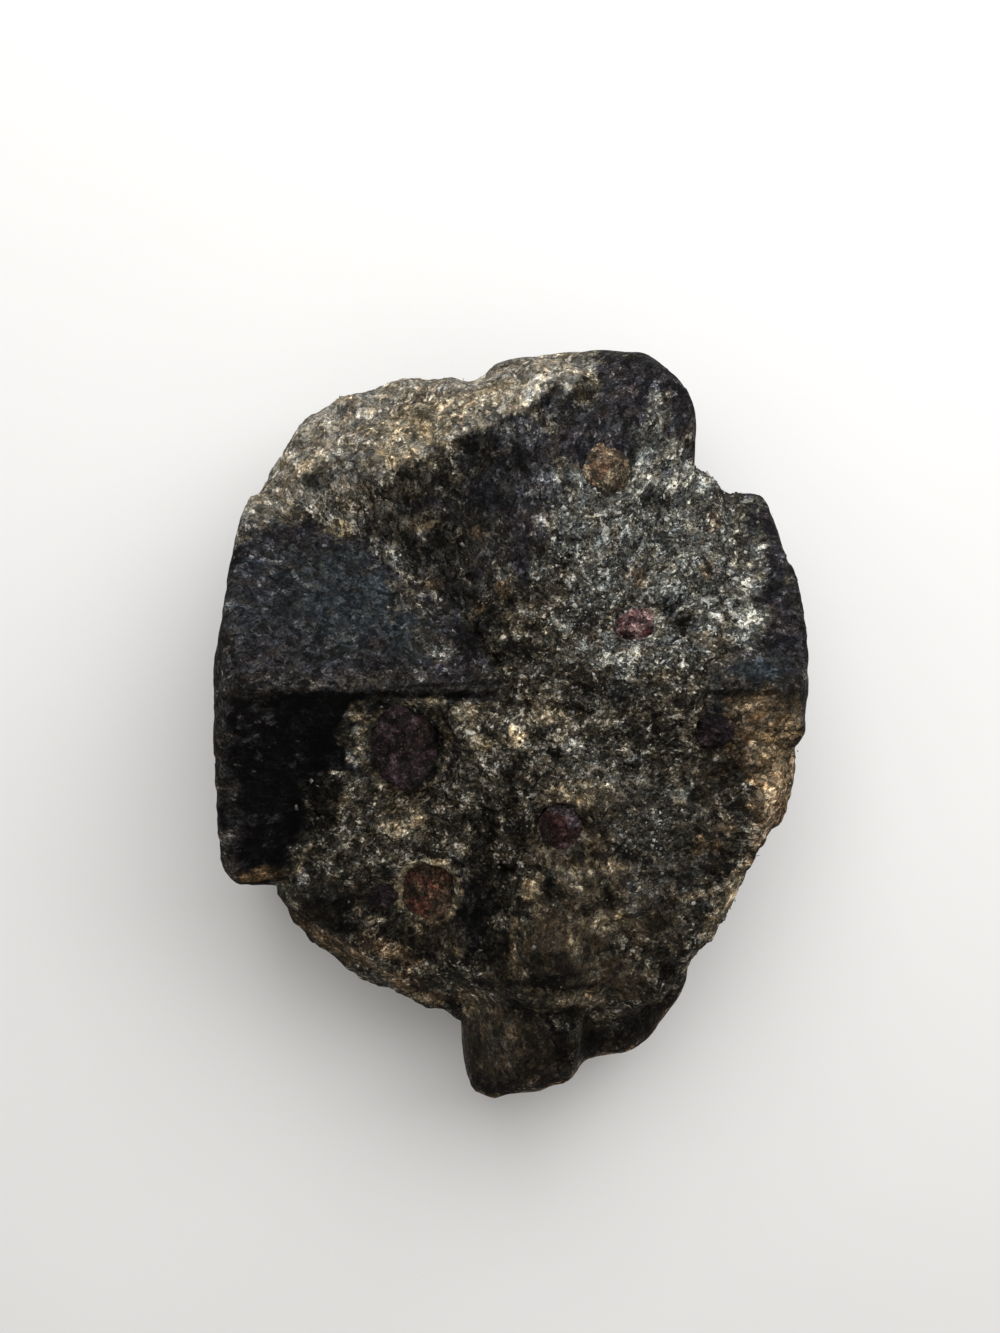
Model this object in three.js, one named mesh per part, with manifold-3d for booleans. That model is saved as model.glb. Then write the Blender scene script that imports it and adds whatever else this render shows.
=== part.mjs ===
// A staurolite cross: two twinned prisms of brown-black staurolite, grown through each other at a
// right angle, with the garnet mica schist that they grew in still filling the corners between the
// arms. Millimetres, +Z up. The stone lies on the flat broken underside of its schist.
import * as THREE from "three";
import { ConvexGeometry } from "three/addons/geometries/ConvexGeometry.js";
import { mergeVertices } from "three/addons/utils/BufferGeometryUtils.js";
import Module from "manifold-3d";

const wasm = await Module();
wasm.setup();

// ---- Driving dimensions ----
const GAP = 0.3; // clearance between a crystal and the rock that holds it
const THINNEST_CRUST = 0.65; // height of the rock's surface over a crystal where it is thinnest
const RIDGE_HEIGHT = 25; // the wide prism's upper edge, the highest line of the stone
const KEEL_HEIGHT = 2.6; // its lower edge
const RIDGE_Y = 2.7; // both edges lie above this line
const PRISM_SLOPE = 25.3; // slope of a prism face: half of 180 less the 129.4 degree prism angle
const SOUTH_SLOPE = 28; // the upper southern prism face is worn a little steeper
const NORTH_SHOULDER = 17.8; // y of the wide prism's two upright side faces
const SOUTH_SHOULDER = -12.3;
const WEST_END = -22.3; // x of its two broken ends
const EAST_END = 22;
const BAR_TOP = 23; // top of the narrow prism's northern arm
const BAR_EAST = 14; // x of its upright eastern face
const BAR_NORTH = 28.9; // y of its northern end
const STUB_TOP = 16.8; // top of the narrow prism's southern arm
const STUB_SOUTH = -29.7; // y of its southern end
const HEART = new THREE.Vector3(0, RIDGE_Y, 12); // a point inside the twin that sees every surface
const GRAIN_SEED = 41;

// ---- Flat faces and the convex bodies that they bound ----

// The half-space under a face that looks towards a compass azimuth (0 is +X, 90 is +Y). slope is the
// face's angle from horizontal: 0 looks up, 90 is a wall, 180 looks down. The face passes through at.
function face(azimuth, slope, at) {
  const a = THREE.MathUtils.degToRad(azimuth);
  const s = THREE.MathUtils.degToRad(slope);
  const normal = new THREE.Vector3(
    Math.cos(a) * Math.sin(s),
    Math.sin(a) * Math.sin(s),
    Math.cos(s),
  );
  return { normal, reach: normal.dot(new THREE.Vector3(...at)) };
}

// The point where three faces meet, or null where two of them are parallel.
function corner(f, g, h) {
  const gh = new THREE.Vector3().crossVectors(g.normal, h.normal);
  const hf = new THREE.Vector3().crossVectors(h.normal, f.normal);
  const fg = new THREE.Vector3().crossVectors(f.normal, g.normal);
  const volume = f.normal.dot(gh);
  if (Math.abs(volume) < 1e-6) return null;
  return gh
    .multiplyScalar(f.reach)
    .addScaledVector(hf, g.reach)
    .addScaledVector(fg, h.reach)
    .divideScalar(volume);
}

// The convex solid inside all the faces, each moved outwards by grow.
function block(faces, grow = 0) {
  const moved = faces.map((f) => ({ normal: f.normal, reach: f.reach + grow }));
  const corners = [];
  for (let i = 0; i < moved.length; i++)
    for (let j = i + 1; j < moved.length; j++)
      for (let k = j + 1; k < moved.length; k++) {
        const p = corner(moved[i], moved[j], moved[k]);
        if (p && moved.every((f) => f.normal.dot(p) < f.reach + 1e-6)) corners.push(p);
      }
  return solid(new ConvexGeometry(corners));
}

// How far a ray from the heart runs until it leaves the body, or 0 where it misses the body.
function exit(faces, direction) {
  let enter = 0;
  let leave = Infinity;
  for (const f of faces) {
    const rate = f.normal.dot(direction);
    const room = f.reach - f.normal.dot(HEART);
    if (rate > 0) leave = Math.min(leave, room / rate);
    else if (rate < 0) enter = Math.max(enter, room / rate);
  }
  return leave > enter ? leave : 0;
}

// ---- Between three.js geometries and manifold-3d solids ----

function solid(geometry) {
  const bare = geometry.clone();
  for (const name of ["normal", "uv"]) bare.deleteAttribute(name);
  const merged = mergeVertices(bare, 1e-4);
  return new wasm.Manifold(
    new wasm.Mesh({
      numProp: 3,
      vertProperties: new Float32Array(merged.attributes.position.array),
      triVerts: new Uint32Array(merged.index.array),
    }),
  );
}

function geometryOf(manifold) {
  const mesh = manifold.getMesh();
  const geometry = new THREE.BufferGeometry();
  geometry.setAttribute("position", new THREE.BufferAttribute(mesh.vertProperties, 3));
  geometry.setIndex(new THREE.BufferAttribute(mesh.triVerts, 1));
  const flat = geometry.toNonIndexed();
  flat.computeVertexNormals();
  return flat;
}

const joined = (solids) => solids.reduce((all, one) => all.add(one));

// The largest of the pieces that a cut leaves, without the crumbs.
function largest(manifold) {
  return manifold.decompose().reduce((a, b) => (a.volume() > b.volume() ? a : b));
}

// ---- The staurolite twin ----

// The wide prism lies along X: six prism faces, and two broken ends with worn corners.
function widePrism() {
  const ridge = [0, RIDGE_Y, RIDGE_HEIGHT];
  const keel = [0, RIDGE_Y, KEEL_HEIGHT];
  return [
    face(90, PRISM_SLOPE, ridge),
    face(270, SOUTH_SLOPE, ridge),
    face(90, 90, [0, NORTH_SHOULDER, 0]),
    face(270, 90, [0, SOUTH_SHOULDER, 0]),
    face(90, 180 - PRISM_SLOPE, keel),
    face(270, 180 - PRISM_SLOPE, keel),
    face(180, 88, [WEST_END, 0, 18]),
    face(180, 52, [WEST_END, 0, 21.8]),
    face(168, 86, [WEST_END + 0.3, 6.5, 19]),
    face(222, 84, [WEST_END + 1.2, SOUTH_SHOULDER + 1.1, 17]),
    face(0, 91, [EAST_END, 0, 18]),
    face(0, 58, [EAST_END, 0, 23.4]),
    face(15, 88, [EAST_END, 7.4, 18]),
    face(341, 88, [EAST_END - 0.1, -0.6, 18]),
  ];
}

// The narrow prism's northern arm: a nearly level top, a western flank that runs down to the wide
// prism, an oblique face in the north-west and a rounded northern end.
function northArm() {
  return [
    face(60, 3, [0, 15, BAR_TOP]),
    face(325, 22, [6, 19.8, BAR_TOP - 0.1]),
    face(205, 25, [-5, 11.5, BAR_TOP - 0.8]),
    face(115, 47, [-7, 17.5, BAR_TOP - 1.2]),
    face(0, 89, [BAR_EAST, 0, 14]),
    face(0, 48, [BAR_EAST - 0.9, 20, BAR_TOP - 0.6]),
    face(52, 84, [12, 27.6, 15]),
    face(20, 86, [BAR_EAST - 0.1, 23.8, 15]),
    face(52, 42, [10.6, 26, BAR_TOP - 1.3]),
    face(94, 88, [7, BAR_NORTH - 0.3, 14]),
    face(125, 88, [-4, 26.3, 10]),
    face(180, 90, [-12, 0, 0]),
    face(52, 128, [10, 25, 4]),
    face(0, 125, [11, 20, 3.4]),
    face(0, 180, [0, 0, 3.4]),
    face(270, 90, [0, 0, 0]),
  ];
}

// The southern arm's long half: a ridged stub that ends blunt, lower than the rock around it.
function southStub() {
  return [
    face(270, 6, [0.4, -23, STUB_TOP]),
    face(196, 46, [0.2, -25, STUB_TOP - 0.1]),
    face(180, 86, [-3.7, 0, 12]),
    face(0, 88, [5.7, 0, 12]),
    face(270, 82, [1.6, STUB_SOUTH, 11]),
    face(285, 46, [1, STUB_SOUTH + 0.9, 14.6]),
    face(234, 84, [-2.9, -28.2, 11]),
    face(302, 86, [4.6, -28, 11]),
    face(270, 132, [0, STUB_SOUTH + 1.6, 4.6]),
    face(0, 180, [0, 0, 4]),
    face(90, 90, [0, -8, 0]),
  ];
}

// The southern arm's short half, beside the stub: it ends in an oblique face that dips south-east.
function southFlank() {
  return [
    face(306, 32, [9.5, -22, 14]),
    face(0, 180, [0, 0, 3.2]),
    face(180, 90, [6.2, 0, 0]),
    face(308, 80, [10.6, -25.3, 10]),
    face(284, 84, [7.4, -26.9, 10]),
    face(335, 84, [13.8, -21.8, 10]),
    face(0, 90, [14.2, 0, 0]),
    face(308, 130, [9.6, -24.4, 4.4]),
    face(90, 90, [0, -8, 0]),
  ];
}

const twinBlocks = [widePrism(), northArm(), southStub(), southFlank()];
const twin = (grow) => joined(twinBlocks.map((faces) => block(faces, grow)));

// ---- The schist ----

// Repeatable noise from 0 to 1, smooth between the points of a lattice of the given spacing.
function noise(p, spacing) {
  const at = p.clone().divideScalar(spacing);
  const cell = at.clone().floor();
  const t = at.sub(cell);
  const ease = (v) => v * v * (3 - 2 * v);
  let sum = 0;
  for (let c = 0; c < 8; c++) {
    const step = [c & 1, (c >> 1) & 1, (c >> 2) & 1];
    const weight =
      (step[0] ? ease(t.x) : 1 - ease(t.x)) *
      (step[1] ? ease(t.y) : 1 - ease(t.y)) *
      (step[2] ? ease(t.z) : 1 - ease(t.z));
    let h =
      Math.imul(cell.x + step[0], 374761393) ^
      Math.imul(cell.y + step[1], 668265263) ^
      Math.imul(cell.z + step[2], 1274126177) ^
      Math.imul(GRAIN_SEED, 362437);
    h = Math.imul(h ^ (h >>> 13), 1103515245);
    sum += weight * (((h ^ (h >>> 16)) >>> 0) / 4294967295);
  }
  return sum;
}

// The rock's outline at mid-height, as walls: the azimuth that each looks to, and a point on it.
const MID_HEIGHT = 12;
const outline = [
  [0, 22.3, -3],
  [340, 21.1, -6.5],
  [332, 18, -12],
  [325, 15.2, -17.3],
  [298, 10, -22.8],
  [270, 0, -23.4],
  [246, -7, -22.4],
  [229, -14.6, -18.1],
  [205, -18.3, -13.6],
  [180, -21.3, 0],
  [168, -21.2, 10],
  [142, -18.4, 20.5],
  [130, -15.8, 23.8],
  [112, -11, 26.6],
  [94, -4, 27.8],
  [45, 15.7, 19.2],
  [18, 18.6, 12],
];

// Above mid-height the outline's walls are nearly upright. Below it they draw in towards the ground.
const UPPER_WALL = 86;
const LOWER_WALL = 109;
const walls = outline.flatMap(([azimuth, x, y]) => [
  face(azimuth, UPPER_WALL, [x, y, MID_HEIGHT]),
  face(azimuth, LOWER_WALL, [x, y, MID_HEIGHT]),
]);

// The rock's masses inside that outline: the southern wedge, a saddle over the ridge, the north-eastern
// and north-western fillings, and the bed under the whole twin.
const masses = [
  [
    face(239, 24, [0, 0, 26.2]),
    face(287, 19.3, [0, 0, 25.8]),
    face(90, 30, [0, RIDGE_Y - 0.8, RIDGE_HEIGHT - 0.5]),
    face(233, 64, [-10.7, -17.4, 17]),
    face(252, 60, [-5, -19.6, 17]),
    face(180, 80, [-17.9, 0, 14]),
    face(322, 62, [14.4, -17.1, 18.5]),
    face(335, 62, [18.2, -10.9, 19.2]),
    face(345, 60, [20.4, -4, 21.6]),
    face(270, 72, [0, -21.2, 17.5]),
    face(290, 66, [9, -21, 16]),
  ],
  [
    face(90, 22, [6, RIDGE_Y, RIDGE_HEIGHT + 0.7]),
    face(270, 20, [6, RIDGE_Y, RIDGE_HEIGHT + 0.7]),
    face(0, 64, [14, 0, RIDGE_HEIGHT]),
    face(200, 60, [-0.4, 4, RIDGE_HEIGHT]),
  ],
  [
    face(75, 6, [4, 12, BAR_TOP + 0.5]),
    face(42, 29, [14.5, 15, 21.2]),
    face(90, 23.6, [10, RIDGE_Y, RIDGE_HEIGHT + 0.6]),
    face(325, 66, [16.4, 4, RIDGE_HEIGHT - 0.4]),
    face(4, 68, [19.6, 9, 21]),
    face(170, 66, [1.4, 14, BAR_TOP + 0.4]),
    face(205, 64, [0.2, 8, BAR_TOP + 0.9]),
    face(100, 68, [6, 20, BAR_TOP + 0.2]),
    face(270, 90, [0, 1, 0]),
  ],
  [
    face(115, 45, [-8.2, 18.6, BAR_TOP]),
    face(100, 38, [2, 24.5, BAR_TOP - 1]),
    face(207, 24, [-8.2, 12.5, 21]),
    face(60, 3, [0, 15, BAR_TOP - 0.7]),
    face(52, 86, [8.5, 25, 12]),
    face(0, 90, [10, 0, 0]),
    face(270, 90, [0, 6, 0]),
  ],
  [face(0, 0, [0, 0, 14]), face(52, 88, [9, 25, 12])],
];
const ground = face(0, 180, [0, 0, -0.3]);

// Rounded lumps that stand out of the rock, and pits that are sunk in it: centre, half-widths.
const lumps = [
  { at: [2.9, -17.2, 17.6], half: [2.7, 4.1, 2.4] },
  { at: [-13.8, -12.2, 16.4], half: [2.9, 2.2, 1.8] },
  { at: [-12, -3.5, 20.4], half: [2.6, 1.9, 1.5] },
  { at: [10.5, -14, 18], half: [3.6, 2.4, 1.8] },
  { at: [17.6, -6.2, 19], half: [2.4, 3, 0.9] },
  { at: [9.4, 13.2, 21.6], half: [4, 3, 0.9] },
  { at: [-14.5, 20.8, 15.2], half: [3, 2.2, 0.8] },
  { at: [-6, 9, -0.5], half: [5, 4, 2.2] },
];
const pits = [
  { at: [8.2, 21.5, 23.6], half: [1.9, 1.7, 1.7] },
  { at: [-10.6, -5.4, 22.9], half: [1.6, 1.1, 1.5] },
  { at: [0.6, -13.2, 23], half: [1.2, 3.8, 1.9] },
  { at: [12.2, -18.4, 18.2], half: [2.6, 1, 1.3] },
  { at: [14.6, -3.4, 24.4], half: [1.4, 1.7, 1.4] },
  { at: [7.5, 8, -1], half: [6, 3.4, 1.9] },
];

// The rock's surface along one ray from the heart: the farthest mass, roughened, raised by the lumps
// and lowered by the pits. Where it covers a crystal it stays whole.
function rockReach(direction) {
  const top = Math.max(...masses.map((faces) => exit(faces, direction)));
  const reach = Math.min(top, exit([...walls, ground], direction));
  const p = direction.clone().multiplyScalar(reach).add(HEART);
  const rough = 0.9 * (noise(p, 5.2) - 0.5) + 0.45 * (noise(p, 2.3) - 0.5);
  const layer = 0.35 * (noise(new THREE.Vector3(p.x / 3, p.y / 3, p.z * 2.2), 2.6) - 0.5);
  const near = (l) => {
    const [dx, dy, dz] = l.at.map((c, i) => (p.getComponent(i) - c) / l.half[i]);
    return Math.max(0, 1 - (dx * dx + dy * dy + dz * dz) / 2);
  };
  const raised = lumps.reduce((sum, l) => sum + near(l) * l.half[2], 0);
  const sunk = pits.reduce((sum, l) => sum + near(l) * l.half[2], 0);
  const surface = reach + rough + layer + raised - sunk;
  const crystal = Math.max(...twinBlocks.map((faces) => exit(faces, direction)));
  return reach > crystal + 0.1 ? Math.max(surface, crystal + THINNEST_CRUST) : surface;
}

// Everything above the ground, which cuts the rock and the garnets under it off flat.
const overGround = solid(new THREE.BoxGeometry(80, 80, 40).translate(0, 0, 20));

// A sphere of directions round the heart, each moved out to the rock's surface.
function rock() {
  const geometry = new THREE.IcosahedronGeometry(1, 15);
  const position = geometry.attributes.position;
  const direction = new THREE.Vector3();
  for (let i = 0; i < position.count; i++) {
    direction.fromBufferAttribute(position, i).normalize();
    direction.set(...direction.toArray().map((v) => Math.round(v * 1e5) / 1e5));
    const p = direction.clone().multiplyScalar(rockReach(direction)).add(HEART);
    position.setXYZ(i, p.x, p.y, p.z);
  }
  return solid(geometry).intersect(overGround);
}

// ---- The garnets ----

// name, centre, half-width between opposite faces, and a turn about an oblique axis in degrees.
const garnets = [
  ["garnet_plum", [-7.9, -1.6, 23], 2.7, 20],
  ["garnet_red", [-6.2, -12.5, 18.5], 2.2, 65],
  ["garnet_small_dark", [-9.9, -13, 17.9], 1.15, 10],
  ["garnet_round", [3.7, -7.4, 21.9], 1.6, 35],
  ["garnet_pink", [9.1, 7.4, 22.1], 1.55, 50],
  ["garnet_rusty", [7.1, 19.6, 21.2], 1.8, 15],
  ["garnet_black", [14.8, 0, 23], 1.35, 75],
  ["garnet_east", [14.9, -9.2, 19.6], 1.3, 40],
  ["garnet_edge", [18.6, -10.6, 13], 1.2, 25],
  ["garnet_west_side", [-14.8, -16.6, 9.8], 1.5, 55],
  ["garnet_north_side", [-6.4, 26.4, 9.5], 1.7, 30],
  ["garnet_under_west", [-13.2, 3.4, 2.2], 1.7, 5],
  ["garnet_under_south", [4.6, -15.2, 1.5], 1.5, 80],
];
const GARNET_AXIS = new THREE.Vector3(1, 2, 1.5).normalize();

// A rhombic dodecahedron, garnet's own form: eight corners of a cube and six points over its faces.
function garnet([, at, halfWidth, turn], grow = 0) {
  const unit = (halfWidth + grow) / Math.SQRT2;
  const corners = [];
  for (const x of [-1, 1])
    for (const y of [-1, 1]) for (const z of [-1, 1]) corners.push([x, y, z]);
  for (const s of [-2, 2]) corners.push([s, 0, 0], [0, s, 0], [0, 0, s]);
  const geometry = new ConvexGeometry(
    corners.map((c) =>
      new THREE.Vector3(...c)
        .multiplyScalar(unit)
        .applyAxisAngle(GARNET_AXIS, THREE.MathUtils.degToRad(turn)),
    ),
  );
  return solid(geometry.translate(...at));
}

// ---- The stone ----

const materials = {
  staurolite: new THREE.MeshStandardMaterial({ color: 0x2b2826, roughness: 0.5, metalness: 0 }),
  schist: new THREE.MeshStandardMaterial({ color: 0x6e675b, roughness: 0.75, metalness: 0 }),
  garnet: new THREE.MeshStandardMaterial({ color: 0x4a2320, roughness: 0.4, metalness: 0 }),
};

function piece(name, manifold, material) {
  const mesh = new THREE.Mesh(geometryOf(manifold), material);
  mesh.name = name;
  return mesh;
}

const garnetSockets = joined(garnets.map((g) => garnet(g, GAP)));
const stone = new THREE.Group();
stone.add(
  piece("staurolite_twin", largest(twin(0).subtract(garnetSockets)), materials.staurolite),
  piece(
    "schist_matrix",
    largest(rock().subtract(twin(GAP)).subtract(garnetSockets)),
    materials.schist,
  ),
  ...garnets.map((g) => piece(g[0], garnet(g).intersect(overGround), materials.garnet)),
);

// The origin goes to the middle of the stone's footprint, on the ground.
const box = new THREE.Box3().setFromObject(stone);
const middle = box.getCenter(new THREE.Vector3());
stone.position.set(-middle.x, -middle.y, -box.min.z);

export default stone;
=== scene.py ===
"""A staurolite cross: twinned crystals in garnet mica schist, dressed round its solid model.

Each mineral is one closed surface, worked out with numpy as a distance from the heart of the stone
in every direction: the solid's own distance, worn smooth, with the mineral's relief added.
"""

import math
from functools import lru_cache

import bpy
import numpy as np
from bpy.props import FloatProperty, FloatVectorProperty, IntProperty, PointerProperty
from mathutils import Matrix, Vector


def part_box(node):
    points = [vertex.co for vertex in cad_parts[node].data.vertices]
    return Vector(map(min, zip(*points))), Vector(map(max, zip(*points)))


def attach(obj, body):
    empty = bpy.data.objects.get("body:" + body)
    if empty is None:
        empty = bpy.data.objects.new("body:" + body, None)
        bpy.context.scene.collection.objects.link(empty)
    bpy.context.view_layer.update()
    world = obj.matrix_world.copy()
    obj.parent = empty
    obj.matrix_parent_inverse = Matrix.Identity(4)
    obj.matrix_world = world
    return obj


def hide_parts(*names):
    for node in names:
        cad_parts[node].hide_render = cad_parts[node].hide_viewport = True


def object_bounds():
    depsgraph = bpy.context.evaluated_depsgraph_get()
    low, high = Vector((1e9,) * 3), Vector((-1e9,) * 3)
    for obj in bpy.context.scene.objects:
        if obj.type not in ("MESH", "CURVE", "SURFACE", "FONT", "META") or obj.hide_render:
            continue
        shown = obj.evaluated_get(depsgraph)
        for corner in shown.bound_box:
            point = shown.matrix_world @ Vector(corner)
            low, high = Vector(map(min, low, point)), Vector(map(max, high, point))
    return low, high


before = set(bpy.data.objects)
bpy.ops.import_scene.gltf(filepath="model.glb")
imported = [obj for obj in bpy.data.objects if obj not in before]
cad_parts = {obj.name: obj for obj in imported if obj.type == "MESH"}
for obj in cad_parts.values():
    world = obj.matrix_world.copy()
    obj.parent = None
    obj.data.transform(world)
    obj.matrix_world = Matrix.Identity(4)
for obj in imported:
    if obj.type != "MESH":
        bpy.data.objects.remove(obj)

bl_info = {
    "name": "Staurolite Cross",
    "version": (1, 0, 0),
    "blender": (4, 5, 0),
    "location": "3D View > Sidebar > Stone",
    "description": "Crystals, rock, garnets and mica of a staurolite cross, on a pale table",
    "category": "Add Mesh",
}

MM = 0.001
TOP_LEAN = 0.32
# Rays are sorted into cubes this many to a unit of length, just under a whole number so that 1 falls
# in the last of them.
BINS = 5.999
# A garnet's socket as a share of its box's width, and how often the skin over it is relaxed.
SOCKET = 0.58
RELAXINGS = 250
# The rock counts as there where it stands out of the crystals by more than this, in mm.
THINNEST = 0.05
# How many points of the stone's skin say how high it is round a garnet.
SKIN_POINTS = 150
CAD_BOX = [list(corner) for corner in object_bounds()]
CRYSTALS = "staurolite_twin"
ROCK = "schist_matrix"
GARNETS = sorted(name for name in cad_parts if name.startswith("garnet_"))


def middle_of(node):
    """The middle of a solid's box, in millimetres."""
    low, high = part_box(node)
    return (np.array(low) + np.array(high)) / 2 / MM


# Places on the stone are in millimetres from the point on the ground under the crossing of the two
# prisms, which lies this far from the round garnet.
CROSSING = middle_of("garnet_round") - np.array([3.7, -7.4, 21.9])
HEART = CROSSING + np.array([0.0, 2.7, 12.0])

# ---- Numbers that look random, and are the same each time ----


def chance(cells, salt):
    """A number from 0 to 1 for each whole-number place: its coordinates times three large primes,
    mixed by shifts and a multiplication that overflow on purpose."""
    c = np.asarray(cells, np.int64).astype(np.uint32)
    primes = np.array([374761393, 668265263, 1274126177], np.uint32)
    with np.errstate(over="ignore"):
        h = (c * primes).sum(-1, dtype=np.uint32) ^ np.uint32((salt * 2654435761) % 2**32)
        h = (h ^ (h >> 13)) * np.uint32(1103515245)
        h = (h ^ (h >> 16)) * np.uint32(2246822519)
    return (h ^ (h >> 15)).astype(np.float64) / 4294967295.0


def cloud(points, size, salt=0):
    """Smooth noise from -1 to 1: chance at the corners of cubes of that size, blended between them by
    3t^2 - 2t^3 along each axis."""
    at = points / size
    cell = np.floor(at)
    t = at - cell
    t = t * t * (3 - 2 * t)
    total = np.zeros(len(points))
    for corner in np.ndindex(2, 2, 2):
        weight = np.prod(np.where(corner, t, 1 - t), axis=-1)
        total += weight * chance(cell + corner, salt)
    return 2 * total - 1


def clouds(points, size, salt=0, octaves=3):
    """Noise of several sizes, each half as large and half as strong as the one before."""
    levels = [0.5**k * cloud(points, size * 0.5**k, salt + k) for k in range(octaves)]
    return sum(levels) / 1.5


def grains(points, size, salt=0):
    """Rounded grains from 0 at their edges to 1 at their middles: one minus the squared distance to
    the nearest of one scattered point in each cube of that size. Also gives each grain a chance."""
    at = points / size
    cell = np.floor(at)
    best = np.full(len(points), 9.0)
    number = np.zeros(len(points))
    for step in np.ndindex(3, 3, 3):
        near = cell + step - 1
        seed = near + np.stack([chance(near, salt + k) for k in (1, 2, 3)], axis=-1)
        distance = ((seed - at) ** 2).sum(-1)
        closer = distance < best
        best = np.where(closer, distance, best)
        number = np.where(closer, chance(near, salt + 4), number)
    return np.clip(1 - best, 0, 1), number


def ramp(values, low, high):
    """0 below low, 1 above high, and 3t^2 - 2t^3 between them."""
    t = np.clip((values - low) / (high - low), 0, 1)
    return t * t * (3 - 2 * t)


# ---- Surfaces round the heart ----


def sphere_grid(n, lean):
    """Directions in every way, and the squares between them. A cube's six sides are ruled n by n, a
    point (a, b) of a side goes out along (tan 45a, tan 45b, 1), and doubles along the cube's edges
    are merged by their whole-number places. lean is added to z before the length is made 1, which
    gathers the points on top of the stone."""
    line = np.arange(-n, n + 1, 2)
    a, b = (g.ravel() for g in np.meshgrid(line, line, indexing="ij"))
    ahead = np.full(a.shape, n)
    sides = [
        (a, b, ahead),
        (b, a, -ahead),
        (ahead, a, b),
        (-ahead, b, a),
        (b, ahead, a),
        (a, -ahead, b),
    ]
    lattice = np.concatenate([np.stack(side, -1) for side in sides])
    keys = ((lattice + n) * np.array([1, 4096, 4096**2], np.int64)).sum(-1)
    _, first, index = np.unique(keys, return_index=True, return_inverse=True)
    corner = np.arange(n)[:, None] * (n + 1) + np.arange(n)[None, :]
    square = np.stack([corner, corner + n + 1, corner + n + 2, corner + 1], -1).reshape(-1, 4)
    squares = np.concatenate([index[square + side * (n + 1) ** 2] for side in range(6)])
    places = lattice[first]
    out = np.tan(places / n * (math.pi / 4))
    out /= np.linalg.norm(out, axis=-1, keepdims=True)
    out[:, 2] += lean
    out /= np.linalg.norm(out, axis=-1, keepdims=True)
    return out, squares


def triangles_of(node, heart):
    """A solid's triangles as (triangle, corner, xyz), in millimetres from the heart."""
    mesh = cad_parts[node].data
    mesh.calc_loop_triangles()
    points = np.zeros(len(mesh.vertices) * 3, np.float32)
    mesh.vertices.foreach_get("co", points)
    corners = np.zeros(len(mesh.loop_triangles) * 3, np.int32)
    mesh.loop_triangles.foreach_get("vertices", corners)
    return points.reshape(-1, 3)[corners].reshape(-1, 3, 3).astype(float) / MM - heart


def cones(vectors):
    """The mean direction of each group of vectors, and the widest angle that one makes with it."""
    unit = vectors / np.maximum(np.linalg.norm(vectors, axis=-1, keepdims=True), 1e-9)
    axis = unit.sum(-2)
    axis /= np.maximum(np.linalg.norm(axis, axis=-1, keepdims=True), 1e-9)
    cosine = np.einsum("...ij,...j->...i", unit, axis).min(-1)
    return axis, np.arccos(np.clip(cosine, -1, 1))


def reach_of(directions, triangles):
    """How far each ray from the heart goes until it last leaves the solid, or 0 where it misses. A
    ray d meets triangle abc where d.(a x b), d.(b x c) and d.(c x a) are all positive, at a distance
    of (a.n) / (d.n). Rays and triangles are matched in small patches of the sphere."""
    a, b, c = triangles[:, 0], triangles[:, 1], triangles[:, 2]
    sides = [np.cross(a, b), np.cross(b, c), np.cross(c, a)]
    normal = np.cross(b - a, c - a)
    height = (a * normal).sum(-1)
    axis, spread = cones(triangles)
    bins = (np.floor((directions + 1) * BINS).astype(int) * [1, 16, 256]).sum(-1)
    order = np.argsort(bins, kind="stable")
    edges = np.flatnonzero(np.diff(bins[order])) + 1
    reach = np.zeros(len(directions))
    for patch in np.split(order, edges):
        d = directions[patch]
        middle, width = cones(d[None])
        angle = np.arccos(np.clip(axis @ middle[0], -1, 1))
        near = np.flatnonzero((angle < spread + width[0] + 0.01) & (height > 0))
        if len(near) == 0:
            continue
        met = np.all([d @ s[near].T > -1e-7 for s in sides], axis=0)
        rate = d @ normal[near].T
        far = np.where(met & (rate > 1e-9), height[near] / np.maximum(rate, 1e-9), 0)
        reach[patch] = far.max(-1)
    return reach


def neighbours(squares):
    """The ends of every edge of the grid, both ways round."""
    ends = np.stack([squares, np.roll(squares, -1, axis=1)], -1).reshape(-1, 2)
    return np.concatenate([ends, ends[:, ::-1]])


def worn(values, edges, times):
    """The values after each point was moved, that many times, to the mean of itself and its
    neighbours."""
    count = np.bincount(edges[:, 0], minlength=len(values))
    for _ in range(times):
        mean = np.bincount(edges[:, 0], values[edges[:, 1]], len(values)) / count
        values = (values + mean) / 2
    return values


def filled(values, directions, edges):
    """The values with those over each garnet's socket replaced by a skin stretched from its rim: each
    is moved to the mean of its neighbours, over and over."""
    hidden = np.zeros(len(values), bool)
    for name in GARNETS:
        low, high = (np.array(corner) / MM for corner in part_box(name))
        out = (low + high) / 2 - HEART
        distance = np.linalg.norm(out)
        radius = SOCKET * (high - low).max()
        hidden |= directions @ out / distance > math.sqrt(1 - min(radius / distance, 1) ** 2)
    ends = edges[hidden[edges[:, 0]]]
    count = np.maximum(np.bincount(ends[:, 0], minlength=len(values)), 1)
    for _ in range(RELAXINGS):
        mean = np.bincount(ends[:, 0], values[ends[:, 1]], len(values)) / count
        values = np.where(hidden, mean, values)
    return values


def normals_of(points, squares):
    """The outward direction at each point: the sum of its squares' diagonals' cross products."""
    p = points[squares]
    across = np.cross(p[:, 2] - p[:, 0], p[:, 3] - p[:, 1])
    total = np.zeros_like(points)
    for k in range(3):
        total[:, k] = np.bincount(squares.ravel(), np.repeat(across[:, k], 4), len(points))
    return total / np.maximum(np.linalg.norm(total, axis=-1, keepdims=True), 1e-9)


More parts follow.
